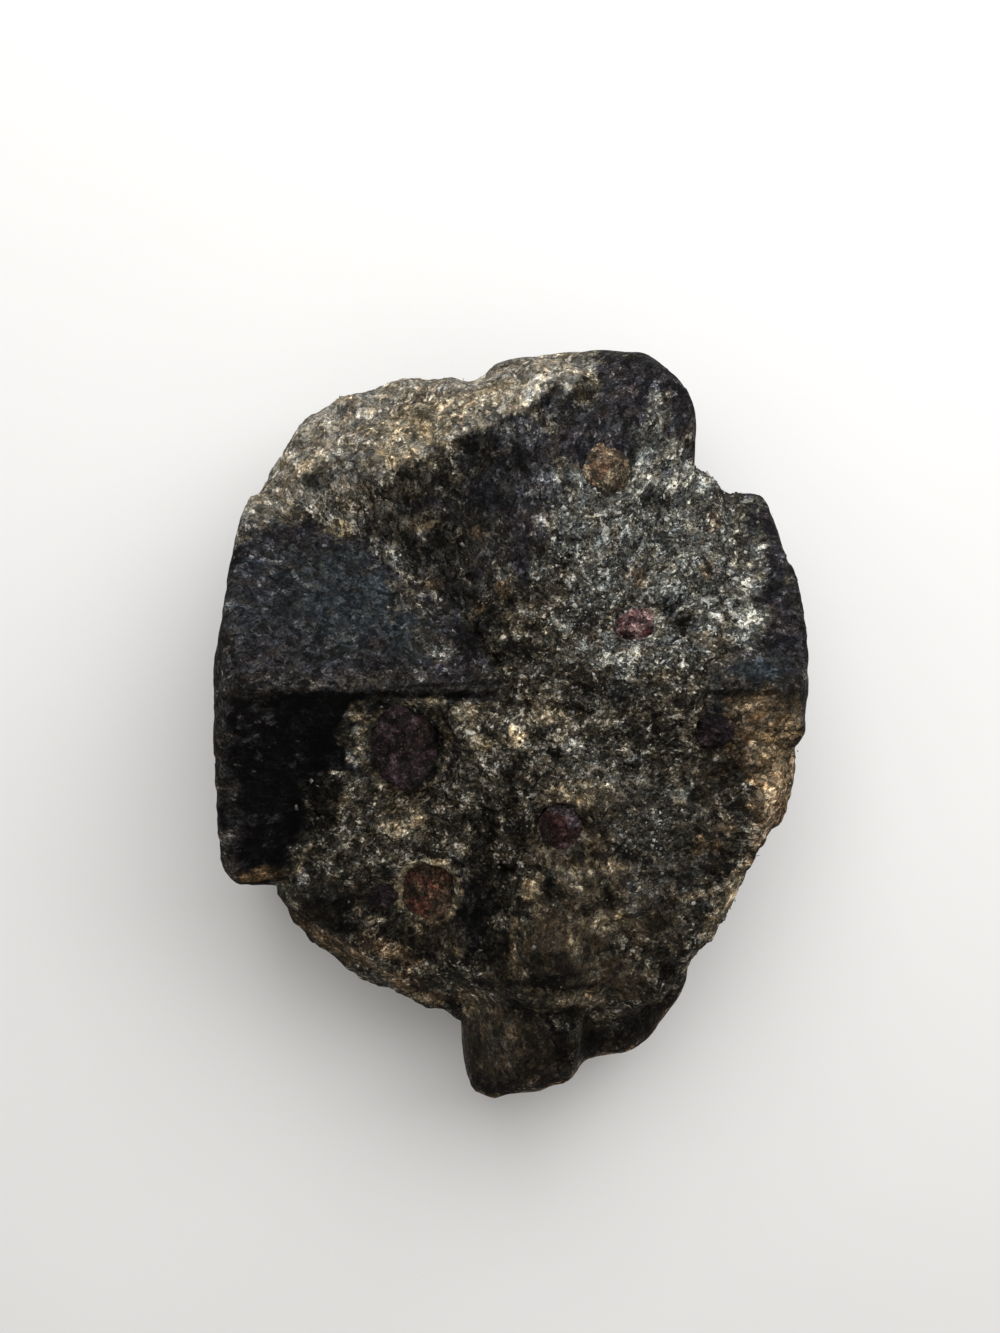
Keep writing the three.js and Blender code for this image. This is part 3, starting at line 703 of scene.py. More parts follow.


# ---- The minerals' surfaces ----

# Where the stone is weathered, and where sheen and shade are painted: x and y from the crossing and
# half-widths in millimetres, turn in degrees, and strength. The blue-grey coat's table is painted sheen
# on the crystals' north-tilted faces, and the dark table is partly painted shade.
STAINS = {
    "painted_sheen": [
        (-12.3, 9.8, 3.9, 4.3, 0, 1), (-7.4, 7, 2.7, 1.9, -15, 0.95), (18.2, 4.4, 3.1, 1.1, 8, 0.95),
        (16.4, 6.4, 1.3, 1.3, 0, 0.5), (7.3, 22.3, 2.5, 0.9, 0, 0.4), (-15.7, 9.4, 7.1, 5.4, 0, 0.5),
        (-13.3, 5.7, 5.1, 2.2, 0, 0.4),
    ],
    "crust": [
        (10.7, 12.4, 8.6, 7.1, 10, 1), (3.6, 15.3, 2.5, 5.2, 0, 0.85), (7.9, 5.3, 6.5, 1.7, 0, 1),
        (17.3, 9.4, 2.1, 4.4, 0, 0.95), (17.1, 16.4, 2.6, 1.7, -10, 0.8), (-9.2, 12.6, 3, 0.7, -37, 0.85),
        (-12.5, 15.9, 3.8, 2.1, -25, 0.75), (-17.9, 16, 2.7, 1.4, 20, 0.6),
        (-5.3, 11.3, 4.5, 4.5, 0, 0.62), (-6.7, 15, 1.9, 1.6, 0, 0.8), (-0.8, 9.4, 2.6, 3.7, 0, 0.8),
        (-3, 13.8, 3.7, 2.2, 0, 0.55), (0.6, 5, 3.6, 1.6, 0, 0.8), (-5.9, 6.4, 1.9, 1.2, -20, 0.5),
        (-5, 5.5, 0.7, 0.7, 0, 0.9), (-15.8, 12.5, 3, 2.3, 0, 0.3), (18.2, -0.5, 3.4, 2.5, 0, 0.95),
        (6.9, 27.9, 4.6, 0.6, 8, 0.5), (3.7, 26.3, 3.7, 1.2, 20, 0.8), (-0.8, -24.6, 1.6, 3.4, 0, 0.7),
        (10.1, -22.3, 3.1, 1.6, 30, 0.5), (13.4, 22.2, 0.6, 1.8, 0, 0.4), (-8.3, -1.2, 4.7, 4.2, 0, 1),
        (11.8, 18.5, 3, 1.6, 0, 1), (7, 18.5, 4.6, 1.9, 0, 0.9), (-13.6, 16.7, 4.5, 1.7, -25, 0.7),
        (-18, 17.2, 2.7, 1.4, -30, 0.8), (-8.9, 15.3, 2.5, 2.2, 0, 1), (-6, 19, 4.4, 2.2, -25, 0.7),
        (10.5, 21.3, 2.1, 1.5, -15, 0.7), (11.2, 23.9, 1.3, 1.9, 0, 0.6),
    ],
    "silver": [
        (10.7, 12.4, 8.2, 6.7, 10, 1), (4.1, 15.2, 1.8, 3.8, 0, 0.85), (9.7, 5.5, 5.4, 1.9, 0, 0.85),
        (17.3, 9.4, 1.8, 4.4, 0, 0.95), (-9.2, 12.6, 2.5, 0.6, -37, 1), (17.1, 16.8, 2.3, 1.4, -10, 0.5),
        (-5, 5.5, 0.7, 0.6, 0, 0.9), (-13.6, 16.3, 2.3, 0.9, -20, 0.5), (7.1, 2.1, 4.3, 1.3, 0, 0.35),
        (11.8, 18.6, 3, 1.6, 0, 1), (6.6, 17.4, 4.6, 1.5, 0, 1), (9.6, 19.1, 2.2, 1.3, 0, 0.9),
        (14.7, 17.8, 1.9, 1.5, 0, 0.9), (11.5, -9.2, 4.5, 6.3, 0, 0.42), (6.5, -2.7, 4.4, 2.2, 0, 0.45),
        (18.4, 12.5, 1.1, 1.8, 0, 0.7), (9.5, -5.4, 3.7, 3, 0, 0.35), (13.9, 18.7, 2.1, 1.1, 0, 0.9),
        (18.4, 19.8, 2.4, 1, 0, 0.5), (3.6, 18.1, 1.9, 1.2, 0, 0.7), (10.5, 21.3, 2.1, 1.3, -15, 0.6),
        (11.2, 23.9, 1.3, 1.8, 0, 0.4), (2.3, 12.2, 1.3, 1.5, 0, 0.4),
    ],
    "pale": [
        (4.4, 11.1, 0.5, 0.6, 0, 1), (2.7, 18.4, 0.7, 1, 0, 0.9), (10, 19.4, 0.7, 0.7, 0, 1),
        (15.1, 8.3, 0.6, 0.6, 0, 0.9), (17.3, 8.1, 1, 0.7, 0, 0.9), (18.6, 12.8, 0.4, 1.1, -25, 1),
        (7.3, 5, 1.7, 0.6, 5, 0.7), (-8.9, 12, 0.9, 0.4, -35, 1), (-7.9, 11.3, 0.6, 0.4, 0, 0.9),
        (5.1, 16.8, 1, 0.9, 0, 0.5), (17.4, 10.5, 1.5, 0.9, 0, 0.5), (-11.7, -2.6, 0.6, 0.7, 0, 1),
        (-3.4, -5.5, 0.4, 1.3, -28, 0.9), (-1.8, -23.6, 0.5, 0.6, 0, 0.7), (13.4, -2.8, 0.5, 0.7, 0, 0.9),
        (12.6, -5, 0.7, 1.3, -20, 0.7), (13.5, -21.7, 1, 0.5, 10, 0.6), (-17.3, 16.2, 0.6, 0.5, 0, 0.7),
        (-21, 9, 0.6, 0.5, 0, 0.8), (0.3, -1, 0.9, 1.9, 0, 0.45), (4.4, -1.2, 1, 0.7, 0, 1),
        (4.7, -8.1, 1, 0.9, 0, 0.9), (-11, -1.1, 0.7, 1.8, 15, 0.6), (-12.5, -8.8, 2, 1.1, 0, 0.5),
        (-8.7, -9.9, 2, 0.9, 0, 0.4), (13.5, 18.4, 2, 0.9, 0, 0.7), (10.8, 18.6, 1.3, 0.7, 0, 0.6),
        (5.5, 15.7, 1.8, 0.7, 0, 0.4), (9.7, 17.1, 1.8, 0.7, 0, 0.4), (-3, -0.5, 0.7, 0.6, 0, 0.8),
        (18.3, -8.4, 0.9, 1.2, 0, 0.9), (19.3, -5.5, 0.6, 1.6, 10, 0.6), (-9.2, -1.2, 0.3, 2.2, 8, 0.8),
        (-3, 2, 1.2, 0.4, -20, 0.6), (3.5, 2.8, 2.2, 0.3, 0, 0.4), (19.9, -5.1, 0.6, 2.5, 12, 0.6),
        (-8, -2.4, 0.9, 0.4, 0, 0.7), (5.7, 1.7, 1.9, 0.6, 0, 0.4), (18, -14.6, 0.5, 2.4, 35, 0.5),
        (16.4, -17.4, 0.4, 1.9, 35, 0.5), (-7.1, -6.5, 0.6, 3, -28, 0.5),
        (-4.5, -3.9, 0.4, 2.9, -35, 0.5), (-2.2, -1.2, 0.6, 1.9, -30, 0.5), (2.1, 0.6, 1.4, 0.6, 20, 0.5),
        (-10.2, -10.1, 2.3, 0.6, 20, 0.4), (0.7, -5.3, 0.6, 1.5, 10, 0.4), (-8.6, -7.7, 1.6, 0.9, 0, 0.4),
        (6.5, -3.7, 3.2, 1, 0, 0.7), (-8.4, -8.3, 1, 0.7, 0, 0.7), (2.5, 14.5, 1.2, 1.2, 0, 1),
        (-9.4, 13.4, 1.6, 0.6, -35, 0.9), (17.6, 5.3, 1.2, 0.7, 0, 0.6), (-23, 12.6, 0.6, 1, 0, 0.4),
        (5.9, -2.3, 0.7, 0.6, 0, 0.6), (1.1, 25.6, 2.3, 0.6, 25, 0.5), (4.9, 6.4, 1.3, 1, 0, 0.7),
        (5.2, -11.6, 1.3, 1.3, 0, 0.75), (-3.8, -8.8, 1, 1, 0, 0.4), (-0.8, -2.4, 1.2, 1.3, 0, 0.7),
        (2.1, -2.3, 1, 1, 0, 0.5), (-12.9, 15.4, 1.4, 1.1, 0, 0.4), (-0.8, -21.2, 1.5, 1.2, 0, 0.4),
        (11.2, 23.9, 1, 1.5, 0, 0.5), (-2.4, -7.6, 1, 1, 0, 0.9), (6.4, 0.7, 2.6, 1.2, 0, 0.42),
        (-18.4, 12.3, 1.7, 1.7, 0, 0.35), (-9.7, 12.3, 1.3, 1.1, 0, 0.45), (5.1, -5, 1.3, 1, 0, 0.38),
        (8.3, 12.3, 1.3, 1.1, 0, 0.42), (0.7, 17.7, 2.3, 1.2, 0, 0.35), (-2.6, -7.6, 0.7, 1.6, 0, 0.6),
    ],
    "cream": [
        (-6.8, 23.1, 3.5, 2.6, 20, 0.9), (-8.2, 20.4, 2.7, 1, 28, 0.8), (-2.3, 24.7, 4.5, 0.9, 25, 0.8),
        (0.3, -0.7, 0.7, 1, 0, 1), (18.2, -5.4, 1.2, 1, -20, 0.9), (20.3, -2.4, 0.7, 3, 6, 0.7),
        (2.7, 1.2, 1.4, 1.4, 0, 0.45), (5.4, -4.6, 2.3, 1.2, 0, 0.55), (3.6, -5.1, 1.5, 0.7, 0, 0.5),
        (-11.2, 1.2, 0.6, 1, 0, 0.8), (-8.2, -6.8, 2.2, 1.8, 0, 0.5), (-3.5, 1, 1.2, 0.7, 0, 0.6),
        (-2.2, -1, 1, 0.7, 0, 0.5), (-5.9, 2, 1.2, 0.4, 0, 0.5), (-11.4, -13.6, 0.5, 1.1, -10, 0.7),
        (-10.3, -14.9, 1.1, 0.4, 0, 0.7), (-6.7, -15.9, 1.5, 0.3, -35, 0.7),
        (-4.4, -17, 1.2, 0.3, -38, 0.7), (1.2, -12.3, 1, 0.9, 0, 0.75), (7.3, -14.7, 2, 0.9, 0, 0.55),
        (4.8, -16.9, 0.7, 1.8, 15, 0.5), (6.6, -10.8, 2.5, 0.9, 0, 0.4), (3.7, -20.1, 3.2, 0.3, -3, 0.7),
        (13.5, -12.9, 2.6, 0.3, 14, 0.7), (17, -12.1, 0.9, 2.3, -28, 0.7),
        (15.3, -15.5, 0.9, 2.3, -32, 0.5), (14.2, -19.1, 0.6, 1.6, -30, 0.5), (-6.7, 15, 1.5, 1, 0, 0.5),
        (-12.9, 14.9, 1.2, 0.7, 0, 0.6), (-16, 19.5, 2.7, 0.8, 38, 0.5), (-3.1, -21.6, 1.6, 1.6, 0, 0.35),
        (17.6, 12.5, 1.2, 1.1, 0, 0.3), (14.5, 6.4, 1.9, 0.6, 5, 0.4), (0.2, -16.8, 0.3, 2.6, 0, 0.9),
        (4.7, -21.1, 2.6, 0.4, -4, 0.7), (19.1, -3.2, 1.6, 3.4, 12, 0.8), (17.5, 2, 2.2, 1, 0, 0.3),
        (-8.3, -1.2, 0.3, 2, 10, 0.9), (-12.3, -5.5, 3, 0.4, -40, 0.4), (-16, -10.2, 0.5, 2.3, -35, 0.5),
        (21.1, -5.6, 0.6, 2, 15, 0.8), (20.8, 0.6, 0.4, 2.2, 0, 0.5),
    ],
    "rust": [
        (-2.3, 9, 0.7, 0.7, 0, 0.7), (-0.6, 10.1, 0.6, 0.8, 0, 0.8), (-6, 10.5, 1.2, 0.7, 10, 0.35),
        (-2.6, 14.2, 0.9, 0.5, 0, 0.5), (13.9, 26.8, 0.6, 0.6, 0, 1), (18.8, -3, 1.5, 1.8, 0, 0.65),
        (17.9, -5.6, 1, 0.7, 0, 0.6), (16.8, 0.6, 1.9, 1.2, 0, 0.5), (15.4, -9, 0.4, 0.8, 0, 0.9),
        (15.8, -7.6, 0.9, 0.3, 0, 0.8), (-8.7, -12.1, 0.7, 0.6, 0, 0.5), (-21.1, 17, 0.6, 0.7, 0, 0.5),
        (-19.7, 18.3, 1.4, 0.6, 35, 0.5), (-7.1, 25.1, 3.1, 0.7, 18, 0.35), (0.8, -29.8, 4, 0.3, 0, 0.8),
        (10.5, -25.9, 3.4, 0.3, 25, 0.8), (9.2, 10.9, 0.8, 0.7, 0, 0.5), (15.4, 15.7, 0.5, 1, 0, 0.5),
        (14.7, 11.7, 0.9, 0.9, 0, 0.5), (0.6, -23.7, 0.8, 0.5, 0, 0.5), (1.2, -12.5, 0.9, 0.7, 0, 0.4),
        (-23, 10.6, 0.4, 1.9, 0, 0.5), (18.6, -0.2, 1.9, 1.8, 0, 0.7), (19.4, -4.7, 1, 2.2, 10, 0.7),
        (14.1, -8.5, 1, 1.2, 0, 0.5), (-19.6, -11.6, 1.8, 0.6, 10, 0.8), (-6.4, -12.4, 1.9, 1.8, 0, 0.35),
        (17.9, -1.3, 2.5, 2.9, 0, 0.45), (-14.1, -17, 4.7, 1.1, -32, 0.6),
        (-7.9, -20.5, 3.9, 1.1, -25, 0.6), (18.1, 2, 2.2, 1, 0, 0.6), (20.5, -0.6, 1, 1.8, 0, 0.6),
        (-9.2, -17.4, 3.1, 0.9, -25, 0.5),
    ],
    # Dark grains and patches, and also painted shade: the thin lines under the ridge at y 2 to 3, the
    # steep south-west flank and some hollows.
    "dark": [
        (-10.6, -4.7, 0.7, 0.3, -30, 1), (-14.4, -9.6, 1.5, 1.4, 0, 0.55),
        (-13.2, -14, 2.1, 1.1, -10, 0.9), (-3.2, -14.4, 1.8, 1.2, 0, 0.95),
        (-0.8, -16.1, 1, 2.1, 0, 0.75), (-6.3, -17.7, 1.8, 0.4, -30, 0.8), (-0.2, -2.7, 0.7, 1, 0, 0.8),
        (3.3, -1.9, 0.4, 0.7, 15, 0.9), (8.6, -3.2, 1, 0.7, 0, 0.65), (8.3, -5.9, 1.2, 0.4, 0, 0.8),
        (8.6, 0.1, 0.6, 0.8, 0, 0.6), (12.3, 0.4, 0.5, 0.5, 0, 0.8), (12.8, -4, 0.3, 0.7, 20, 1),
        (13.7, -5, 0.6, 0.7, 0, 0.6), (13.9, -7.6, 0.5, 0.7, 0, 0.9), (16.6, -9.9, 0.7, 0.9, 0, 0.6),
        (8.9, -9.7, 0.7, 0.7, 0, 0.8), (0.2, -10.4, 0.4, 0.9, -10, 0.9), (0.7, -7.5, 0.7, 1, 0, 0.7),
        (3, -12.2, 0.4, 1, 10, 0.9), (7.4, -12.7, 0.4, 1, 15, 0.9), (11.4, -14.9, 1.7, 0.6, 35, 0.4),
        (12.3, -18.5, 0.7, 0.8, -30, 0.6), (-0.3, -19.3, 0.7, 1.7, 20, 0.8), (17, 2.6, 3.8, 0.3, 0, 0.9),
        (-4.1, 3.2, 5.1, 0.2, 3, 0.8), (-15.3, 2.5, 4.4, 0.4, 0, 0.8), (-2.4, 6.4, 1.8, 1, 0, 0.75),
        (-2.9, 11.2, 1.2, 0.6, 0, 0.6), (3.6, 12.5, 1.2, 0.7, -20, 0.7), (10.8, 17, 1.2, 0.5, -12, 0.9),
        (4.2, 13.8, 0.9, 0.6, 0, 0.5), (13.1, 13.9, 0.8, 0.6, -20, 0.7), (4.1, 17.5, 0.9, 0.6, 0, 0.5),
        (-4.5, 11.3, 0.9, 0.6, 0, 0.5), (0.6, 2.6, 2.2, 0.4, 0, 0.5), (6.2, -25.6, 0.6, 1.3, 0, 1),
        (10.3, -23.6, 2.7, 1.3, 32, 0.8), (2.7, -23.6, 2.3, 2.3, 0, 0.45), (-4.1, 16.4, 4.6, 4.6, 0, 0.5),
        (-1.4, 20.4, 3.4, 1.2, -24, 0.8), (-3, 19.1, 2.2, 1.5, 0, 0.6), (-2.4, 7.9, 2.6, 3.2, 0, 0.45),
        (0.3, 5.3, 1.9, 1, 0, 0.6), (2.7, 5.1, 1.6, 0.7, 0, 0.5), (-13.8, -14.3, 4, 1.8, 25, 0.75),
        (-6.1, -15.1, 3, 1.7, 20, 0.4), (-2.1, -8.5, 1.2, 3, 0, 0.9), (-1.8, -13, 1.2, 3.3, 0, 1),
        (-2.3, -17, 1.5, 1.5, 0, 0.8), (15.7, -2.5, 1.9, 1.9, 0, 0.5), (-6.7, -20.4, 3.1, 0.8, 25, 0.4),
        (-0.4, -13.4, 0.6, 4.5, 5, 0.5), (13.3, -8.1, 0.7, 1.5, 0, 0.5), (11.8, -13.1, 0.8, 1.1, 0, 0.5),
        (3.7, -19, 3, 0.5, 5, 0.9), (-0.8, -19.8, 2, 0.9, 0, 0.6), (3.7, -19.8, 3.8, 0.4, -3, 0.9),
        (-15.3, 2, 6.5, 0.7, 0, 0.5), (-6.6, 2.5, 5.1, 0.4, 0, 0.7), (5.9, -11.4, 0.7, 1, 0, 0.5),
        (2.5, -3.4, 0.7, 1, 0, 0.5), (6.5, -3.8, 0.7, 0.7, 0, 0.6), (9.4, -1.2, 0.9, 0.7, 0, 0.4),
        (-11, 2, 2.2, 0.9, 0, 0.8), (-3.8, -6.9, 0.6, 1.5, 10, 0.5), (3.7, -17.6, 2.3, 1.1, 0, 0.5),
        (13.6, 2.1, 1, 0.6, 0, 0.4), (-14, -4.7, 1.6, 2.5, 0, 1), (-15.9, -7.3, 1.4, 2.1, 0, 0.9),
        (-13.9, -1.1, 1, 2.2, 0, 0.8), (-8.8, -6.3, 1.3, 0.6, -10, 0.8), (0.2, -12.6, 0.7, 1.6, 0, 0.5),
        (0.1, -5.3, 0.7, 1.8, 0, 0.8), (-2.1, -11.5, 1.2, 3.7, 0, 0.8), (-14.4, 18.7, 2, 0.8, 0, 0.8),
        (5.7, 3.5, 1.7, 1.9, 0, 0.4), (-12.2, -0.6, 0.6, 1.3, 10, 0.6), (16.5, -3, 0.9, 0.7, 40, 0.9),
        (5, -22.8, 1.7, 0.9, 0, 0.6), (0.7, -20.9, 2.3, 1.5, 0, 0.4), (-4.2, -12.5, 1.1, 1.5, 0, 0.4),
        (0.3, -14.9, 0.5, 1.8, 0, 0.5), (10.8, -0.9, 1.2, 0.9, 0, 0.4), (10, 2.8, 1, 0.6, 0, 0.4),
        (-17.5, -10.8, 0.9, 1.1, 0, 0.8), (11.9, 9, 0.7, 1, 0, 0.5), (-12.5, 0.6, 1, 1.3, 0, 0.5),
        (-6.7, -5.4, 1.3, 1, 0, 0.5), (13.1, -9.7, 3.6, 2.9, 0, 0.28), (-8.3, -15.1, 4.6, 1.6, -25, 0.5),
        (5.5, 9, 1.5, 1.9, 0, 0.42), (-12.7, 19, 2.3, 1.2, 0, 0.42),
    ],
    "olive": [
        (2.7, -24.4, 2.6, 3.4, 0, 1), (-0.8, -25.4, 1.2, 3.1, 0, 0.35), (2.6, -17.6, 2, 1.8, 0, 0.35),
    ],
    "smooth": [
        (3.6, -16.4, 3, 3.3, 0, 1), (2.6, -20.8, 2.6, 1.2, 0, 0.8), (9.7, -13.4, 4.5, 3.5, -35, 0.75),
        (13.4, -9.2, 3, 3, 0, 0.6), (8.8, -5.4, 2.9, 1.9, 0, 0.4), (2.5, -7.5, 2.2, 1.9, 0, 0.4),
        (-13.8, -13.7, 3.8, 2, 25, 0.7), (-5.3, -15.5, 2.7, 2.3, 0, 0.6), (19, -0.9, 2.2, 3.7, 0, 0.8),
        (-0.8, -17.8, 1.1, 3, 0, 0.5), (18.1, 2, 2.9, 1.2, 0, 0.6), (6.6, -9.1, 5.2, 4.4, 0, 0.6),
        (5.2, -15.3, 4.5, 4.5, 0, 0.7), (13.9, -4.6, 1.8, 2.9, 0, 0.6), (-0.8, -24.6, 3.9, 3.9, 0, 0.75),
        (6.8, -19.4, 3.8, 3.1, 0, 0.75), (2.2, -17.6, 3, 2.3, 0, 0.75), (11.1, -22.8, 2.4, 1.6, 0, 0.6),
        (5.1, -5.3, 5.9, 4.4, 0, 0.35),
    ],
    "slate": [
        (0.7, 21.3, 2.4, 2.4, -20, 1), (1.8, 17.6, 1.6, 3.1, 10, 1), (3.8, 23.7, 2.7, 1.5, -20, 1),
        (-1, 19, 1.9, 3.4, 0, 0.6), (-2.7, 20.1, 1.6, 1.8, 0, 0.5), (-3.1, -13.4, 1.8, 4.5, 10, 0.6),
        (-2.2, 7.2, 1.2, 1, 0, 0.6), (-4.1, 9.4, 1.8, 1.5, 0, 0.6), (-13.8, -13.3, 4.6, 1.5, -35, 0.5),
    ],
}
# Lumps and hollows in the rock that the eye picks out: the last number is their height.
SWELLS = [
    (3.4, -16.2, 2.9, 3.4, 0, 1.2), (3.7, -20.4, 3.2, 0.6, -3, -0.5), (-0.9, -13.2, 1, 5.4, 4, -1),
    (-2.6, -11, 1.6, 3.5, 20, 0.35), (4.5, -11.5, 2.2, 3, 0, 0.3), (-12.8, -3.4, 1.6, 1.2, 20, 0.45),
    (-11.4, -6.6, 1.6, 0.9, 20, -0.55), (12.5, -6, 2.2, 2.6, 0, -0.4), (16.5, -7.5, 1.6, 2.4, 0, 0.4),
    (8.5, -15.5, 3, 1.2, 15, -0.45), (-9.6, -10, 2.2, 1.6, 0, 0.3),
]
# Where the worn sides stand out from the straight sides of the solids, or in, in the same way.
SIDES = [
    (17, 20, 2.6, 2, 20, -0.3), (2.7, 28.4, 6.5, 3, 0, 0.7), (-2.2, 25.6, 1.8, 2.2, 0, -0.9),
    (-5.2, 25.9, 3.6, 2.4, 8, -0.5), (-15.8, 23.2, 4.5, 3.5, 0, -0.65), (-16.4, 24.6, 2.6, 2.6, 0, -0.9),
    (-14, 26, 2.4, 2.4, 0, -0.9), (-21, 14.6, 4, 6.5, 0, 0.6), (13.8, 24.2, 2.2, 3, 0, 0.35),
    (19.8, 15.8, 2.4, 2.4, 0, 0.35), (22.1, 12, 3, 5, 0, 0.7), (22.4, -4, 3, 4, 0, -0.65),
    (23, 1, 2, 1.6, 0, -0.5), (20.5, -8.8, 3, 2.6, 0, -0.55), (18, -14, 2.6, 2.6, 0, 0.5),
    (-21.4, -12, 2.6, 2.6, 0, 0.8), (-17.6, -13.2, 2.2, 2.2, 0, 0.35), (-11.8, -20.4, 2.2, 2, 0, -0.4),
    (-2.6, -30, 2.4, 3, 0, 1.3), (-3.9, -27.9, 1.8, 2.2, 0, 0.8), (6, -28.8, 2.4, 2, 0, 1.1),
    (10.1, -24.9, 3, 2.2, 25, 0.6),
]
# Where the top of the northern arm is broken down round its garnet.
STEP = (7.1, 19.6, 2.4, 2.3, 0, 1)
# Garnets that the rock has a pale rim round: the rim's radius in mm and how strong it is.
RINGS = [("garnet_red", 2.35, 1.0), ("garnet_plum", 3.3, 0.45), ("garnet_pink", 1.9, 0.3)]
# Each garnet's finish, how far it stands out of the stone in mm, and its width along x, y and z.
GARNET_KINDS = {
    "garnet_plum": ("plum", 1.25, (0.84, 1.05, 1.0)),
    "garnet_red": ("red", 0.3, (1.1, 1.15, 1.1)),
    "garnet_small_dark": ("black", 0.3, (1, 1, 1)),
    "garnet_round": ("round", 0.45, (0.95, 1.0, 1)),
    "garnet_pink": ("pink", 0.4, (1.05, 1.15, 1)),
    "garnet_rusty": ("rusty", 0.1, (1.15, 1.3, 1)),
    "garnet_black": ("black", 0.6, (1.1, 1.1, 1.1)),
    "garnet_east": ("rusty", 0.1, (0.9, 1, 1)),
    "garnet_under_west": ("red", 0.2, (1, 1, 1)),
}


@lru_cache(maxsize=2)
def stone_grid(n):
    """Directions, squares and edges of a grid of n squares along a side, and each solid's reach."""
    directions, faces = sphere_grid(n, TOP_LEAN)
    edges = neighbours(faces)
    reach = {
        node: filled(reach_of(directions, triangles_of(node, HEART)), directions, edges)
        for node in (CRYSTALS, ROCK)
    }
    return directions, faces, edges, reach


def rock_there(reach):
    """1 where the solid rock covers the solid crystals, and 0 where they are bare."""
    return (reach[ROCK] > reach[CRYSTALS] + THINNEST).astype(float)


@lru_cache(maxsize=2)
def crystal_surface(n, wear, pits):
    """The twin's reach, its edges worn round, with shallow waves, crusts and etch pits. Gives the
    reach, the crust's mask, the points and the outward directions before the fine relief."""
    directions, faces, edges, reach = stone_grid(n)
    far = worn(reach[CRYSTALS], edges, wear)
    points = HEART + directions * far[:, None]
    far = far + swells(points - CROSSING, SIDES)
    points = HEART + directions * far[:, None]
    normals = normals_of(points, faces)
    p = points - CROSSING
    there = rock_there(reach)
    rim = ramp(worn(there, edges, 60) + 0.12 * clouds(points, 1.8, 67), 0.02, 0.55)
    crust = np.maximum(spots(p, STAINS["crust"]) * ramp(p[:, 2], 8, 12), rim)
    waves = 0.22 * clouds(points, 3.8, 7) + 0.05 * clouds(points, 0.8, 17)
    pit, number = grains(points, 0.9, 27)
    patch = ramp(clouds(points, 4.0, 37), -0.3, 0.4)
    deep = pits * ramp(pit, 0.45, 1.0) * (number > 0.4) * (0.3 + 0.7 * patch)
    rough = crust * (0.16 * clouds(points, 0.8, 47) + 0.08 * clouds(points, 0.4, 57))
    sunk = 0.9 * spots(p, [STEP], 0.15)
    far = far + waves + rough - deep - sunk
    return far, crust, kept_inside(HEART + directions * far[:, None]), normals


@lru_cache(maxsize=2)
def rock_surface(n, wear, pits, grain_width, grain_height):
    """The rock's height over the crystals, thinned out towards its own borders and sunk under them
    where they are bare, with lumps, ledges, grains and holes. Gives its reach, points and outward
    directions before the fine relief."""
    directions, faces, edges, reach = stone_grid(n)
    crystal_far = crystal_surface(n, wear, pits)[0]
    solid, crystal = reach[ROCK], reach[CRYSTALS]
    there = rock_there(reach)
    near = worn(there, edges, 60)
    share = worn(there, edges, 6)
    cover = worn(np.where(there > 0, solid - crystal, 0), edges, 6) / np.maximum(share, 0.02)
    cover = np.where(share > 0.02, cover, 0)
    ragged = near + 0.1 * clouds(HEART + directions * crystal[:, None], 1.6, 65)
    taper = np.maximum(ramp(ragged, 0.25, 0.9), ramp(cover, 1.4, 2.8) * there)
    base = crystal_far + cover * taper - 0.45 * (1 - ramp(ragged, 0.12, 0.4))
    base = np.where(there > 0, np.maximum(base, crystal_far - 0.5), base)
    base = worn(base, edges, 5)
    points = HEART + directions * base[:, None]
    normals = normals_of(points, faces)
    p = points - CROSSING
    above = ramp(p[:, 2], 11, 15)
    lumps = 0.26 * clouds(points, 3.0, 5) + 0.2 * clouds(points, 1.2, 15)
    layers = 0.3 * clouds(p * [0.35, 0.35, 2.6], 1.5, 25) * (1 - 0.7 * above)
    grain, number = grains(points, grain_width, 35)
    height = grain_height * (ramp(grain, 0.3, 1.0) * (0.4 + 1.2 * number) - 0.5)
    holes, hole_number = grains(points, 1.5, 45)
    sunk = 0.5 * ramp(holes, 0.62, 1.0) * (hole_number > 0.75)
    shown = ramp(ragged, 0.1, 0.5)
    far = base + shown * (lumps + layers + height + swells(p, SWELLS) * above - sunk)
    return far, kept_inside(HEART + directions * far[:, None]), normals


def stone_skin(crystals, rock):
    """Points of the stone's outside, whichever mineral it is, and the outward directions there."""
    crystal_far, _, crystal_points, crystal_normals = crystal_surface(*crystals)
    rock_far, rock_points, rock_normals = rock_surface(*rock)
    outer = (rock_far > crystal_far)[:, None]
    return np.where(outer, rock_points, crystal_points), np.where(outer, rock_normals, crystal_normals)


def mica_plates(middle, up, side, size, narrow):
    """Four-cornered plates with two faces a fifth of their width apart, each a box of eight points
    round its middle: out to its corners along side and up x side, and half the thickness up or down."""
    across = np.cross(up, side)
    corners = np.array([(-1, -0.7), (0.8, -1), (1, 0.7), (-0.7, 1)])
    wide = corners[None, :, :1] * side[:, None]
    deep = (corners[None, :, 1:] * narrow[:, None, None]) * across[:, None]
    flat = (wide + deep) * size[:, None, None]
    lift = (up * size[:, None] * 0.1)[:, None]
    points = middle[:, None] + np.concatenate([flat - lift, flat + lift], axis=1)
    box = np.array([(3, 2, 1, 0), (4, 5, 6, 7), (0, 1, 5, 4), (1, 2, 6, 5), (2, 3, 7, 6), (3, 0, 4, 7)])
    faces = box[None] + 8 * np.arange(len(middle))[:, None, None]
    return points.reshape(-1, 3), faces.reshape(-1, 4)


def sizes_of(stone):
    """The grid's size and the crystals' sizes in millimetres, then the rock's."""
    n = stone.squares
    crystals = (n, stone.crystals.wear, round(stone.crystals.pits / MM, 6))
    return crystals, crystals + (round(stone.rock.grain / MM, 6), round(stone.rock.height / MM, 6))


ROCK_STAINS = ("smooth", "silver", "slate", "cream", "rust", "dark", "pale")


